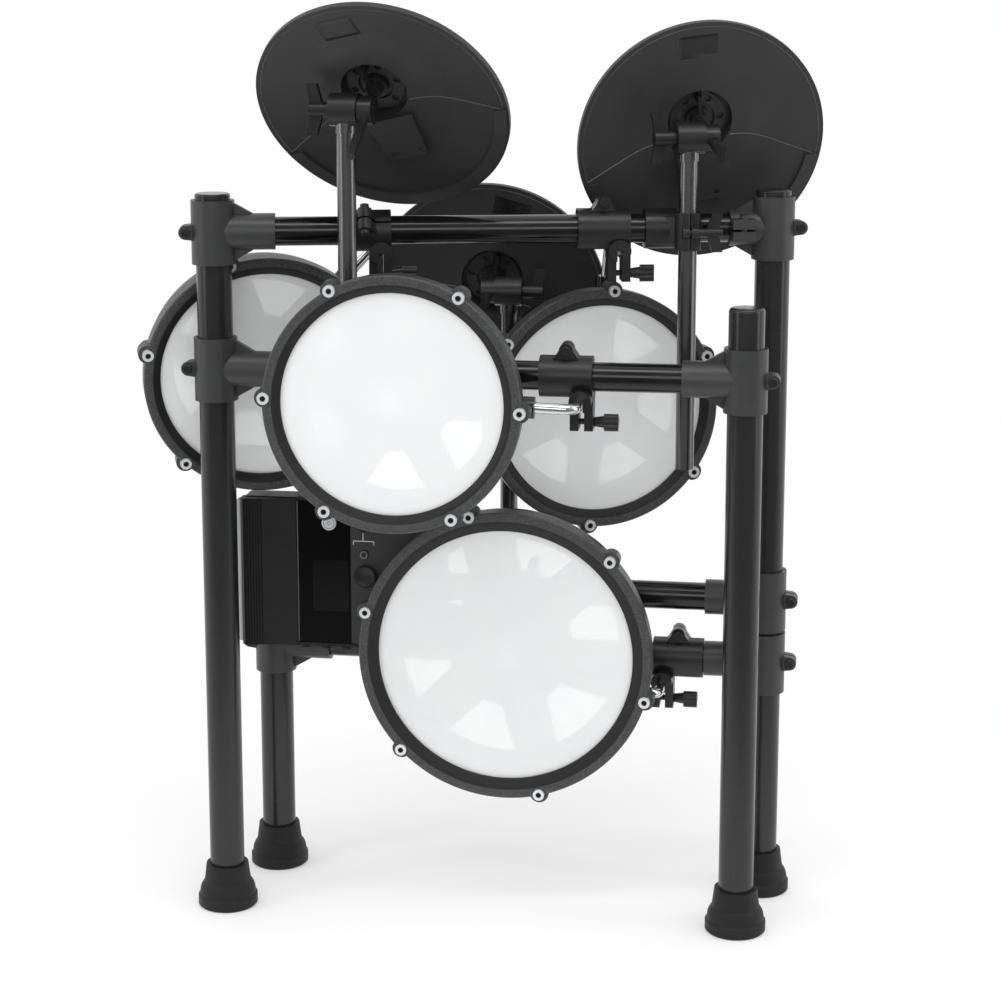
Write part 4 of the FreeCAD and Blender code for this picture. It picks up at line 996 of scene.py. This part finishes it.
@dataclass
class Rack:
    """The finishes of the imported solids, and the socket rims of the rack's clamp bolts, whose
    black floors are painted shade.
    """

    boom_ring: float = 28.0 * MM
    bolt_radius: float = 4.5 * MM
    socket_radius: float = 2.6 * MM
    socket_rise: float = 0.8 * MM
    socket_floor: float = 0.02 * MM

    def groups(self) -> dict[Finish, list[str]]:
        """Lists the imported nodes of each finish.

        Returns:
            Node names by finish.
        """
        posts = ["left_inner_post", "right_inner_post", "right_outer_post", "left_outer_post"]
        return {
            Finish.POST: [*posts, "inner_post_caps"],
            Finish.RUBBER: ["inner_post_feet", "right_outer_foot", "left_outer_foot"],
            Finish.TUBE: ["center_tube", "right_wing_tube", "left_wing_tubes"],
            Finish.TEE: ["center_tube_clamps", "right_wing_clamps", "left_wing_clamps"],
            Finish.CLAMP: ["center_mount_clamps", "right_mount_clamps", "left_mount_clamps"],
            Finish.CHROME: [f"{pad}_rod" for pad in PADS],
            Finish.BOLT: [f"{pad}_bolts" for pad in PADS],
            Finish.SHELL: [f"{pad}_shell" for pad in PADS],
            Finish.STEEL: [f"{cymbal}_tilter" for cymbal in CYMBALS],
            Finish.NUT: [f"{cymbal}_tilter_wing_nut" for cymbal in CYMBALS],
            Finish.CYMBAL: [f"{cymbal}_cymbal" for cymbal in CYMBALS],
            Finish.CASE: ["module_case"],
            Finish.BUTTON: ["module_power_button"],
            Finish.KEY: ["module_song_button", "module_kit_button", "module_mode_button"],
        }

    def dress(self) -> None:
        """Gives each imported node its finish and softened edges."""
        for finish, nodes in self.groups().items():
            for node in nodes:
                dress_node(node, finish.material)
        for boom in (f"{cymbal}_boom" for cymbal in CYMBALS):
            split = vertices_of(boom)[:, 2].max() - self.boom_ring
            dress_node(boom, BoomCoat(f"{boom}_coat", split).material())

    def build(self) -> list[Piece]:
        """Makes a chamfered rim round the socket of each clamp bolt, with a flat black floor that
        is painted shade for the socket's recess.

        Returns:
            One piece for each clamp node.
        """
        sides = {"center": "rack_center", "right": "right_wing", "left": "left_wing"}
        bodies = {"center_tube_clamps": sides["center"]}
        bodies |= {f"{side}_wing_clamps": sides[side] for side in ("right", "left")}
        bodies |= {f"{side}_mount_clamps": body for side, body in sides.items()}
        sizes = (self.bolt_radius, self.socket_radius, self.socket_rise, self.socket_floor)
        # The black rim and its flat black floor are painted shade for each bolt's hex recess.
        socket_shade = Finish.STEEL.material
        made = []
        for node, body in bodies.items():
            rims = [socket_rim(end, *sizes) for end in round_ends(node, self.bolt_radius)]
            LOG.info("%s has %d bolt ends", node, len(rims))
            name = f"{node}_bolt_sockets_painted_shade"
            made.append(add_piece(name, rims, socket_shade, body, RIM_SHARP_ANGLE))
        return made


# Pads


@dataclass
class Pad:
    """One mesh pad: its head, sensor and bolt sockets are made here, and its hoop is dressed."""

    name: str
    rim: float
    hoop_face: float = 9.0 * MM
    thickness: float = 0.5 * MM
    crown: float = 0.6 * MM
    ring_drop: float = 8.0 * MM
    ring_width: float = 5.0 * MM
    bead: float = 1.2 * MM
    cover: float = 0.62
    lugs: int = 6
    socket_radii: Pair = (2.75 * MM, 2.0 * MM)
    socket_rise: float = 0.25 * MM
    socket_floor: float = -2.4 * MM
    foam_radii: Pair = (19.0 * MM, 13.0 * MM)
    foam_bulge: float = 0.8 * MM
    plate_height: float = 2.0 * MM
    plate_edge: float = 0.5 * MM

    def __post_init__(self) -> None:
        """Finds the pad's axes from its packed head and sensor."""
        self.body = f"{self.name}_pad"
        self.axes = flat_axes(f"{self.name}_head")
        points = self.axes.within(vertices_of(f"{self.name}_head"))
        self.radius = float(np.abs(points[:, :2]).max())
        self.top = float(points[:, 2].max())
        self.foam = self.axes.within(vertices_of(f"{self.name}_sensor"))

    def build(self) -> list[Piece]:
        """Dresses the hoop and makes the head, the sensor and the bolt sockets.

        Returns:
            The new pieces.
        """
        hoop = HoopCoat(f"{self.name}_hoop_coat", self.rim - self.hoop_face)
        dress_node(f"{self.name}_hoop", hoop.material(self.axes))
        return [self.head(), *self.sensor(), self.bolt_sockets_painted_shade()]

    def bolt_sockets_painted_shade(self) -> Piece:
        """Makes the socket in each hoop bolt, at the bolts' own places round the pad: a black rim
        and floor that paint the shade of the hex recess.

        The first bolt's angle is the mean angle of all bolt points, folded into one sector.

        Returns:
            The piece.
        """
        points = self.axes.within(vertices_of(f"{self.name}_bolts"))
        radii = np.linalg.norm(points[:, :2], axis=1)
        reach = (radii.min() + radii.max()) / 2
        level = points[:, 2].max()
        folded = self.lugs * np.arctan2(points[:, 1], points[:, 0])
        turns = np.angle(np.exp(1j * folded).mean()) / self.lugs + turn_steps(self.lugs)
        spots = [self.axes.moved(reach * math.cos(a), reach * math.sin(a), level) for a in turns]
        sizes = (*self.socket_radii, self.socket_rise, self.socket_floor)
        rims = [socket_rim(spot, *sizes) for spot in spots]
        # The black steel here is painted shade: the socket's rim and floor stand for the shade in
        # the bolt's hex recess.
        name, socket_shade = f"{self.name}_bolt_sockets_painted_shade", Finish.STEEL.material
        return add_piece(name, rims, socket_shade, self.body, RIM_SHARP_ANGLE)

    def head(self) -> Piece:
        """Makes the mesh head: a faintly crowned disc that turns down over the shell into a bead.

        The disc falls with the square of its radius, and the turn is a quarter circle.

        Returns:
            The piece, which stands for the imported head.
        """
        flat, inner = self.radius - self.bead, self.radius - self.ring_width
        edge, low = self.top - self.crown, self.top - self.ring_drop
        reach = np.linspace(0.0, 1.0, 40)
        rise = self.top - self.crown * reach**2
        above = np.column_stack([reach * flat, rise])
        bend = np.linspace(0.0, TURN / 4, 6)[1:]
        fall = self.bead * (1 - np.cos(bend))
        corner = np.column_stack([flat + self.bead * np.sin(bend), edge - fall])
        ring = [(self.radius, low), (inner, low), (inner, edge - self.thickness)]
        below = np.column_stack([reach * inner, rise - self.thickness])[::-4][1:]
        skin = turned(np.concatenate([above, corner, ring, below]), self.axes, steps=96)
        cloth = MeshCloth(f"{self.name}_mesh", self.cover).material(self.axes)
        piece = add_piece(f"{self.name}_mesh_head", [skin], cloth, self.body)
        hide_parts(f"{self.name}_head")
        return piece

    def sensor(self) -> list[Piece]:
        """Makes the foam cone on its plate; half a sine wave bulges the cone's side.

        Returns:
            The foam and the plate.
        """
        low, high = self.foam[:, 2].min(), self.foam[:, 2].max()
        top = low + self.plate_height
        share = np.linspace(0.0, 1.0, 12)
        base, tip = self.foam_radii
        radius = base + (tip - base) * share + self.foam_bulge * np.sin(math.pi * share)
        side = np.column_stack([radius, top + (high - top) * share])
        cone = turned([(0.0, top), *side, (0.0, high)], self.axes, steps=40)
        wide, edge = float(np.abs(self.foam[:, :2]).max()), self.plate_edge
        outline = [(0.0, low), (wide - edge, low), (wide, low + edge)]
        outline += [(wide, top - edge), (wide - edge, top), (0.0, top)]
        disc = turned(outline, self.axes)
        parts = (("foam", cone, Finish.FOAM), ("plate", disc, Finish.NUT))
        made = [
            add_piece(f"{self.name}_sensor_{part}", [form], finish.material, self.body)
            for part, form, finish in parts
        ]
        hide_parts(f"{self.name}_sensor")
        return made


# Cymbals


@dataclass
class Cymbal:
    """The fine forms on a cymbal pad's underside, about its hub with y toward the pad's top."""

    name: str
    radius: float = 125.5 * MM
    bow: float = 8.0 * MM
    bell_height: float = 28.0 * MM
    back_depth: float = 1.0 * MM
    ring_inset: float = 5.0 * MM
    seam_start: float = 30.0 * MM
    seam_flat: float = 50.0 * MM
    seam_level: float = -17.0 * MM
    seam_end: float = -49.0 * MM
    seam_corner: float = 9.0 * MM
    seam_rise: float = 0.8 * MM
    rim_rise: float = 0.6 * MM
    bead_half: float = 0.8 * MM
    bead_root: float = -0.3 * MM
    bead_shoulder: float = 0.7
    collar_radii: Pair = (33.1 * MM, 76.0 * MM)
    collar_flat: float = 47.6 * MM
    collar_level: float = -3.9 * MM
    collar_depth: float = 0.6 * MM
    collar_rise: float = 0.05 * MM
    collar_steps: tuple[int, int] = (96, 30)
    label_size: Pair = (39.0 * MM, 24.0 * MM)
    label_corner: float = 1.2 * MM
    label_place: Point = (0.0, 80.0 * MM, 0.0)
    label_levels: Pairs = in_mm(
        (0.0, -0.3), (0.0, 0.10), (0.15, 0.18), (4.0, 0.18), (8.0, 0.18), (11.5, 0.18)
    )
    screw_spot: Point = (15.0 * MM, -76.0 * MM, 1.0 * MM)
    screw_profile: Pairs = in_mm((3.0, -0.1), (3.0, 0.25), (2.25, 0.6), (1.5, 0.6), (0.0, 0.1))

    def __post_init__(self) -> None:
        """Finds the hub behind the pad's flat side and the middle of the pad."""
        disc = flat_axes(f"{self.name}_cymbal")
        points = disc.within(vertices_of(f"{self.name}_cymbal"))
        lowest = points[:, 2].min()
        back = points[points[:, 2] < lowest + self.back_depth]
        across, along, _ = (back.min(0) + back.max(0)) / 2
        self.offset = math.hypot(across, along)
        up = unit(disc.x * across + disc.y * along)
        origin = disc.at(np.array([across, along, lowest + self.bell_height]))
        self.axes = Axes.facing(origin, disc.z, np.cross(up, disc.z))

    def build(self) -> list[Piece]:
        """Makes the seams with the rim line in a lighter grey that paints their highlight, the
        collar, the bare label and the cover's screws.

        Returns:
            The new pieces.
        """
        ridges = [self.bead(self.seam(side), self.seam_rise) for side in BOTH_SIDES]
        ridges.append(self.bead(self.rim_line(), self.rim_rise))
        screws = [self.screw(side) for side in BOTH_SIDES]
        forms = (
            ("seams", ridges, Finish.SEAM_PAINTED_HIGHLIGHT, Slot.CYMBAL),
            ("collar", [self.collar()], Finish.CYMBAL, Slot.CYMBAL),
            ("label", [self.label()], Finish.LABEL, Slot.CYMBAL),
            ("screws", screws, Finish.STEEL, Slot.STEEL),
        )
        prefix = f"{self.name}_cymbal"
        return [
            add_piece(f"{prefix}_{part}", surfaces, finish.material, f"{prefix}_pad")
            for part, surfaces, finish, slot in forms
        ]

    def under(self, x: np.ndarray, y: np.ndarray) -> np.ndarray:
        """Height of the bowed underside: a sphere's cap about the middle of the pad."""
        curve = (self.radius**2 + self.bow**2) / (2 * self.bow)
        return curve - self.bow - np.sqrt(curve**2 - x**2 - (y + self.offset) ** 2)

    def skin(self, x: np.ndarray, y: np.ndarray) -> np.ndarray:
        """Height of the underside with the collar, eased by a cubic from one to the other.

        Args:
            x: Places across the pad.
            y: Places toward the pad's top.

        Returns:
            The heights.
        """
        width = self.collar_radii[1] - self.collar_flat
        share = np.clip((np.hypot(x, y) - self.collar_flat) / width, 0.0, 1.0)
        ease = share**2 * (3 - 2 * share)
        return self.collar_level * (1 - ease) + (self.under(x, y) + self.collar_rise) * ease

    def collar(self) -> Surface:
        """The collar as a closed ring, from the hub's hollow out to where it meets the underside.

        Returns:
            The grid, angles by points over the skin and back under it.
        """
        steps, count = self.collar_steps
        local = around(np.linspace(*self.collar_radii, count), np.zeros(count), steps)
        x, y = local[..., 0], local[..., 1]
        top = self.skin(x, y)
        below = np.minimum(top, self.collar_level) - self.collar_depth
        outline = [np.stack([x, y, top], -1), np.stack([x, y, below], -1)[:, ::-1]]
        return Surface(self.axes.at(np.concatenate(outline, 1)), True, True)

    def seam(self, side: int) -> np.ndarray:
        """Points along one seam: level beside the hub, then straight down to the rim.

        The corner between the two is rounded as a hyperbola.

        Args:
            side: The side of the hub, -1 or 1.

        Returns:
            Places on the underside.
        """
        reach = self.radius - self.ring_inset
        end = math.sqrt(reach**2 - (self.seam_end + self.offset) ** 2)
        x = np.linspace(self.seam_start, end, 60)
        slope = (self.seam_end - self.seam_level) / (end - self.seam_flat)
        past = x - self.seam_flat
        fall = (past + np.sqrt(past**2 + self.seam_corner**2)) / 2
        return np.column_stack([side * x, self.seam_level + slope * fall])

    def rim_line(self) -> np.ndarray:
        """Points of the arc inside the rim, from one seam's end over the top to the other's.

        Returns:
            Places on the underside.
        """
        reach = self.radius - self.ring_inset
        low = math.asin((self.seam_end + self.offset) / reach)
        angle = np.linspace(low, math.pi - low, 120)
        return np.column_stack([reach * np.cos(angle), reach * np.sin(angle) - self.offset])

    def bead(self, path: np.ndarray, rise: float) -> Surface:
        """A fine rounded ridge along a path on the underside.

        Args:
            path: Places on the underside.
            rise: The ridge's height.

        Returns:
            The grid, path points by profile points.
        """
        x, y = path.T
        points = self.axes.at(np.column_stack([x, y, self.skin(x, y)]))
        half, root, shoulder = self.bead_half, self.bead_root, rise * self.bead_shoulder
        profile = [(root, -half), (shoulder, -half / 2), (rise, 0.0), (shoulder, half / 2)]
        return carried(points, self.axes.z, [*profile, (root, half)])

    def label(self) -> Surface:
        """A thin bare film with round corners that follows the underside.

        Returns:
            The grid, levels by outline points.
        """
        square = Axes(np.array(self.label_place), *np.eye(3))
        film = plate(*self.label_size, self.label_corner, self.label_levels, square)
        lift = self.under(film.points[..., 0], film.points[..., 1])
        return replace(film, points=self.axes.at(film.points + lift[..., None] * UP))

    def screw(self, side: int) -> Surface:
        """A domed screw head with a hollow, on one side of the jack cover."""
        x, y, z = self.screw_spot
        return turned(self.screw_profile, self.axes.moved(side * x, y, z), steps=24)


# Sound module


@dataclass(frozen=True)
class Moulding:
    """An upright strip on the module's front, with its x from the module's left edge."""

    x: float
    rise: float
    width: float
    margin: float
    corner: float
    levels: Pairs


@dataclass
class SoundModule:
    """The fine forms on the sound module, about its front's middle with x right and y up."""

    width: float = 212.0 * MM
    height: float = 158.0 * MM
    depth: float = 26.0 * MM
    hood: float = 57.0 * MM
    wall: float = 3.05 * MM
    sink: float = 1.5 * MM
    gloss_end: float = 7.6 * MM
    edge_strip: Moulding = Moulding(
        x=-1.6 * MM,
        rise=3.0 * MM,
        width=7.4 * MM,
        margin=6.0 * MM,
        corner=2.4 * MM,
        levels=in_mm((0.0, -6.0), (0.0, 2.0), (0.5, 3.4), (1.4, 4.0)),
    )
    hood_trim: Moulding = Moulding(
        x=57.8 * MM,
        rise=0.0,
        width=1.4 * MM,
        margin=8.0 * MM,
        corner=0.4 * MM,
        levels=in_mm((0.0, -0.1), (0.0, 0.5), (0.2, 0.7)),
    )
    display: Box = (-33.4 * MM, -42.6 * MM, 5.4 * MM, 12.9 * MM)
    display_level: float = -1.0 * MM
    display_corner: float = 0.6 * MM
    display_levels: Pairs = in_mm((0.05, 0.0), (0.05, 0.5), (0.35, 0.8))
    power: Pair = (-14.6 * MM, 52.6 * MM)
    power_rings: Pair = (5.6 * MM, 1.5 * MM)
    mode: Pair = (21.8 * MM, 20.2 * MM)
    mode_ring: float = 3.4 * MM
    mode_ring_half: float = 0.7 * MM
    ring_half: float = 0.4 * MM
    ring_levels: Pair = (-0.05 * MM, 0.18 * MM)
    key_rise: float = 2.2 * MM
    dial: Pair = (23.4 * MM, -2.5 * MM)
    dial_radius: float = 11.5 * MM
    dial_height: float = 6.0 * MM
    dial_gap: float = 0.3 * MM
    dial_foot: float = 0.4 * MM
    dial_edge: Pair = (0.8 * MM, 0.9 * MM)
    dial_dish: Point = (2.4 * MM, 3.2 * MM, 0.5 * MM)
    knurls: int = 36
    knurl_steps: int = 8
    knurl_depth: float = 0.35 * MM
    bracket: Box = (10.7 * MM, 30.4 * MM, 32.1 * MM, 34.2 * MM)
    stem: Pair = (20.8 * MM, 42.5 * MM)
    line_width: float = 0.7 * MM
    line_corner: float = 0.2 * MM
    line_levels: Pairs = in_mm((0.0, -0.05), (0.0, 0.06), (0.05, 0.10))
    jack_pitch: float = 22.0 * MM
    jack_count: int = 5
    jack_drop: float = 5.05 * MM
    jack_profile: Pairs = in_mm((3.3, -0.5), (3.3, 0.3), (4.2, 0.3), (4.6, -0.5))

    def __post_init__(self) -> None:
        """Finds the front panel's face and moves its origin to the middle of the module."""
        panel = flat_axes("module_panel")
        top = panel.within(vertices_of("module_panel"))[:, 2].max()
        self.axes = panel.moved(x=(self.wall - self.hood) / 2, z=float(top))

    def build(self) -> list[Piece]:
        """Coats the panel and makes the trim, glass, lines, jack rims, key rings and dial.

        Returns:
            The new pieces.
        """
        panel = PanelCoat("panel_coat", self.gloss_end).material(self.axes)
        coat(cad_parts["module_panel"], panel)
        edge, trim = [self.strip(self.edge_strip)], [self.strip(self.hood_trim)]
        power = [self.ring(self.power, radius, self.ring_half) for radius in self.power_rings]
        mode = [self.ring(self.mode, self.mode_ring, self.mode_ring_half)]
        forms = (
            ("edge_strip", edge, Finish.EDGE, "module", Slot.CASE),
            ("hood_trim", trim, Finish.TRIM, "module", Slot.CASE),
            ("display_glass", [self.glass()], Finish.GLASS, "module", Slot.PANEL),
            ("printed_lines", self.lines(), Finish.LINE, "module", Slot.PANEL),
            ("jack_rims", self.jack_rims(), Finish.STEEL, "module", Slot.CASE),
            ("power_rings", power, Finish.TRIM, "module_power_key", Slot.BUTTON),
            ("mode_ring", mode, Finish.KEY_RING, "module_mode_key", Slot.BUTTON),
            ("ridged_dial", [self.ridged_dial()], Finish.DIAL, "module_knob", Slot.DIAL),
        )
        made = [
            add_piece(f"module_{part}", surfaces, finish.material, body)
            for part, surfaces, finish, body, slot in forms
        ]
        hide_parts("module_dial")
        return made

    def strip(self, moulding: Moulding) -> Surface:
        """A strip with round corners along the height of the module.

        Args:
            moulding: Its place and sizes.

        Returns:
            The grid, levels by outline points.
        """
        axes = self.axes.moved(x=moulding.x - self.width / 2, z=moulding.rise)
        height = self.height - moulding.margin
        return plate(moulding.width, height, moulding.corner, moulding.levels, axes)

    def glass(self) -> Surface:
        """The display's pane in its sunk opening.

        Returns:
            The grid, levels by outline points.
        """
        left, low, right, high = self.display
        axes = self.axes.moved((left + right) / 2, (low + high) / 2, self.display_level)
        return plate(right - left, high - low, self.display_corner, self.display_levels, axes)

    def bar(self, start: Pair, end: Pair) -> Surface:
        """A flat printed bar between two points along x or y.

        Args:
            start: One end.
            end: The other end.

        Returns:
            The grid, levels by outline points.
        """
        first, last = np.array(start), np.array(end)
        wide, tall = np.abs(last - first) + self.line_width
        axes = self.axes.moved(*((first + last) / 2))
        return plate(wide, tall, self.line_corner, self.line_levels, axes)

    def lines(self) -> list[Surface]:
        """A stem under the upper keys and a bracket with two ticks over the lower one.

        Returns:
            The bars.
        """
        left, low, right, high = self.bracket
        stem_x, stem_top = self.stem
        return [
            self.bar((stem_x, high), (stem_x, stem_top)),
            self.bar((left, high), (right, high)),
            self.bar((left, low), (left, high)),
            self.bar((right, low), (right, high)),
        ]

    def ring(self, key: Pair, radius: float, half: float) -> Surface:
        """A low round ridge in a circle on a key's top.

        Args:
            key: The key's place on the front.
            radius: The circle's radius.
            half: Half the ridge's width.

        Returns:
            The grid, angles by profile points.
        """
        low, high = self.ring_levels
        profile = [(radius - half, low), (radius - half / 2, high)]
        profile += [(radius + half / 2, high), (radius + half, low)]
        return turned(profile, self.axes.moved(*key, self.key_rise), steps=40, closed=True)

    def ridged_dial(self) -> Surface:
        """The data dial: a turned knob whose wall is waved by a cosine, one wave to a ridge.

        Returns:
            The grid, angles by profile points.
        """
        steps = self.knurls * self.knurl_steps
        wave = (1 - np.cos(self.knurls * turn_steps(steps)))[:, None] / 2
        wide, low, top = self.dial_radius, self.dial_gap, self.dial_gap + self.dial_height
        foot, (edge, chamfer), (dish, floor, sunk) = self.dial_foot, self.dial_edge, self.dial_dish
        rings = [(0.0, low, 0), (wide - foot, low, 1), (wide, low + foot, 1)]
        rings += [(wide, top - chamfer, 1), (wide - edge, top, 1), (wide - dish, top, 0)]
        rings += [(wide - floor, top - sunk, 0), (0.0, top - sunk, 0)]
        base, height, ridged = np.array(rings).T
        local = around(base - ridged * self.knurl_depth * wave, height, steps)
        return Surface(self.axes.moved(*self.dial).at(local), True)

    def jack_rims(self) -> list[Surface]:
        """A dark rim in the mouth of each plug jack under the lower edge.

        Returns:
            One grid for each jack.
        """
        across = (np.arange(self.jack_count) - (self.jack_count - 1) / 2) * self.jack_pitch
        mouth = (-self.height / 2 - self.jack_drop, self.sink - self.depth / 2)
        spots = [self.axes.moved(x, *mouth).origin for x in across]
        places = [Axes.facing(spot, -self.axes.y, self.axes.x) for spot in spots]
        return [turned(self.jack_profile, place, steps=32, closed=True) for place in places]


# Studio


@dataclass(frozen=True)
class SoftBox:
    """One rectangular lamp: its place, width and height in metres, and power in watts."""

    name: str
    place: Point
    size: Pair
    power: float

    def hang(self, target: Point) -> None:
        """Adds the lamp, facing a target.

        Args:
            target: Where it points.
        """
        light = bpy.data.lights.new(self.name, "AREA")
        light.shape = "RECTANGLE"
        light.size, light.size_y = self.size
        light.energy = self.power
        lamp = bpy.data.objects.new(self.name, light)
        out = np.array(self.place) - np.array(target)
        axes = Axes.facing(np.array(self.place), out, np.cross(UP, out))
        matrix = np.eye(4)
        matrix[:3] = np.column_stack([axes.x, axes.y, axes.z, axes.origin])
        lamp.matrix_world = Matrix(matrix.tolist())
        bpy.context.scene.collection.objects.link(lamp)


@dataclass
class Studio:
    """The floor, the lights and the camera at the photograph's view."""

    eye: Point = (0.122, -2.304, 0.965)
    heading: float = 4.0
    pitch: float = 10.75
    lens: float = 84.16
    sensor: float = 36.0
    lens_shift: float = -0.10
    floor_size: float = 400.0
    floor_middle: Point = (0.28, 0.0, 0.0)
    floor_levels: Pair = (0.93, 0.95)
    floor_roughness: float = 0.9
    floor_patches: float = 3.0
    fade_reach: Pair = (0.30, 0.95)
    fade_base: float = 0.26
    front_floor: float = -1.2
    front_level: float = 0.20
    front_reach: Pair = (-1.0, 0.2)
    fill_level: float = 0.95
    lamp_target: Point = (0.28, 0.0, 0.5)
    lamps: tuple[SoftBox, ...] = (
        SoftBox("left_box", (-1.9, -0.9, 1.2), (0.45, 2.0), 7.0),
        SoftBox("right_box", (2.3, -0.7, 1.1), (0.45, 2.0), 6.0),
        SoftBox("top_box", (0.3, -0.9, 2.4), (2.4, 0.5), 14.0),
        SoftBox("front_box", (0.0, -3.0, 1.5), (2.2, 0.9), 13.0),
    )

    def build(self) -> None:
        bpy.context.scene.view_settings.view_transform = "Standard"
        self.world()
        self.floor()
        for lamp in self.lamps:
            lamp.hang(self.lamp_target)
        self.camera()

    def world(self) -> None:
        """A plain white surround, darker on the viewer's side for reflections, as in a room."""
        world = bpy.data.worlds.new("studio")
        world.use_nodes = True
        nodes = Nodes(world.node_tree, "Generated")
        ray = nodes.add("LightPath").outputs
        mirrored = nodes.between(nodes.part(1), self.front_level, 1.0, *self.front_reach)
        glossy = nodes.mix(ray["Is Glossy Ray"], self.fill_level, mirrored, "FLOAT")
        seen = nodes.math("MAXIMUM", ray["Is Camera Ray"], ray["Is Transmission Ray"])
        back = world.node_tree.nodes["Background"]
        nodes.feed(back.inputs["Color"], WHITE)
        nodes.feed(back.inputs["Strength"], nodes.mix(seen, glossy, 1.0, "FLOAT"))
        bpy.context.scene.world = world

    def floor(self) -> None:
        ends = np.array([-1.0, 1.0]) * self.floor_size / 2
        corners = np.stack([*np.meshgrid(ends, ends), np.zeros((2, 2))], -1)
        piece = make_piece("studio_floor", [Surface(corners)])
        nodes = Coating("floor_paper")
        color = nodes.mottled(nodes.noise(self.floor_patches), 1.0, self.floor_levels)
        nodes.set(Base_Color=color, Roughness=self.floor_roughness)
        self.fade(nodes)
        coat(piece, nodes.material)

    def fade(self, nodes: Coating) -> None:
        """Args:
            nodes: The floor's material.
        """
        away = nodes.vector("DISTANCE", nodes.place, self.floor_middle)
        far = nodes.between(away, self.fade_base, 1.0, *self.fade_reach)
        ray = nodes.add("LightPath").outputs
        seen = nodes.math("MAXIMUM", ray["Is Camera Ray"], ray["Is Transmission Ray"])
        seen = nodes.math("MAXIMUM", seen, ray["Is Glossy Ray"])
        mirrored = nodes.between(nodes.part(1), self.front_level, 1.0, self.front_floor, 0.0)
        level = nodes.mix(ray["Is Glossy Ray"], 1.0, mirrored, "FLOAT")
        white = nodes.add("Emission", Color=WHITE, Strength=level).outputs[0]
        share = nodes.math("MULTIPLY", far, seen)
        mixed = nodes.fed(nodes.add("MixShader"), share, nodes.shader.outputs[0], white)
        nodes.feed(nodes.tree.nodes["Material Output"].inputs["Surface"], mixed.outputs[0])

    def camera(self) -> None:
        """Places the camera at the photograph's viewpoint, tilted down with a small shift."""
        data = bpy.data.cameras.new("photo_view")
        data.lens = self.lens
        data.sensor_width = self.sensor
        data.shift_y = self.lens_shift
        camera = bpy.data.objects.new("photo_view", data)
        camera.location = self.eye
        camera.rotation_euler = np.radians([90 - self.pitch, 0.0, -self.heading])
        bpy.context.scene.collection.objects.link(camera)
        bpy.context.scene.camera = camera


def main() -> None:
    logging.basicConfig(level=logging.INFO)
    rack = Rack()
    rack.dress()
    pads = [Pad(name, SNARE_RIM if name == "snare" else TOM_RIM) for name in PADS]
    cymbals = [Cymbal(name) for name in CYMBALS]
    for assembly in (*pads, rack, *cymbals, SoundModule()):
        for piece in assembly.build():
            LOG.info("built %s", piece.name)
    Studio().build()


if __name__ == "__main__":
    main()
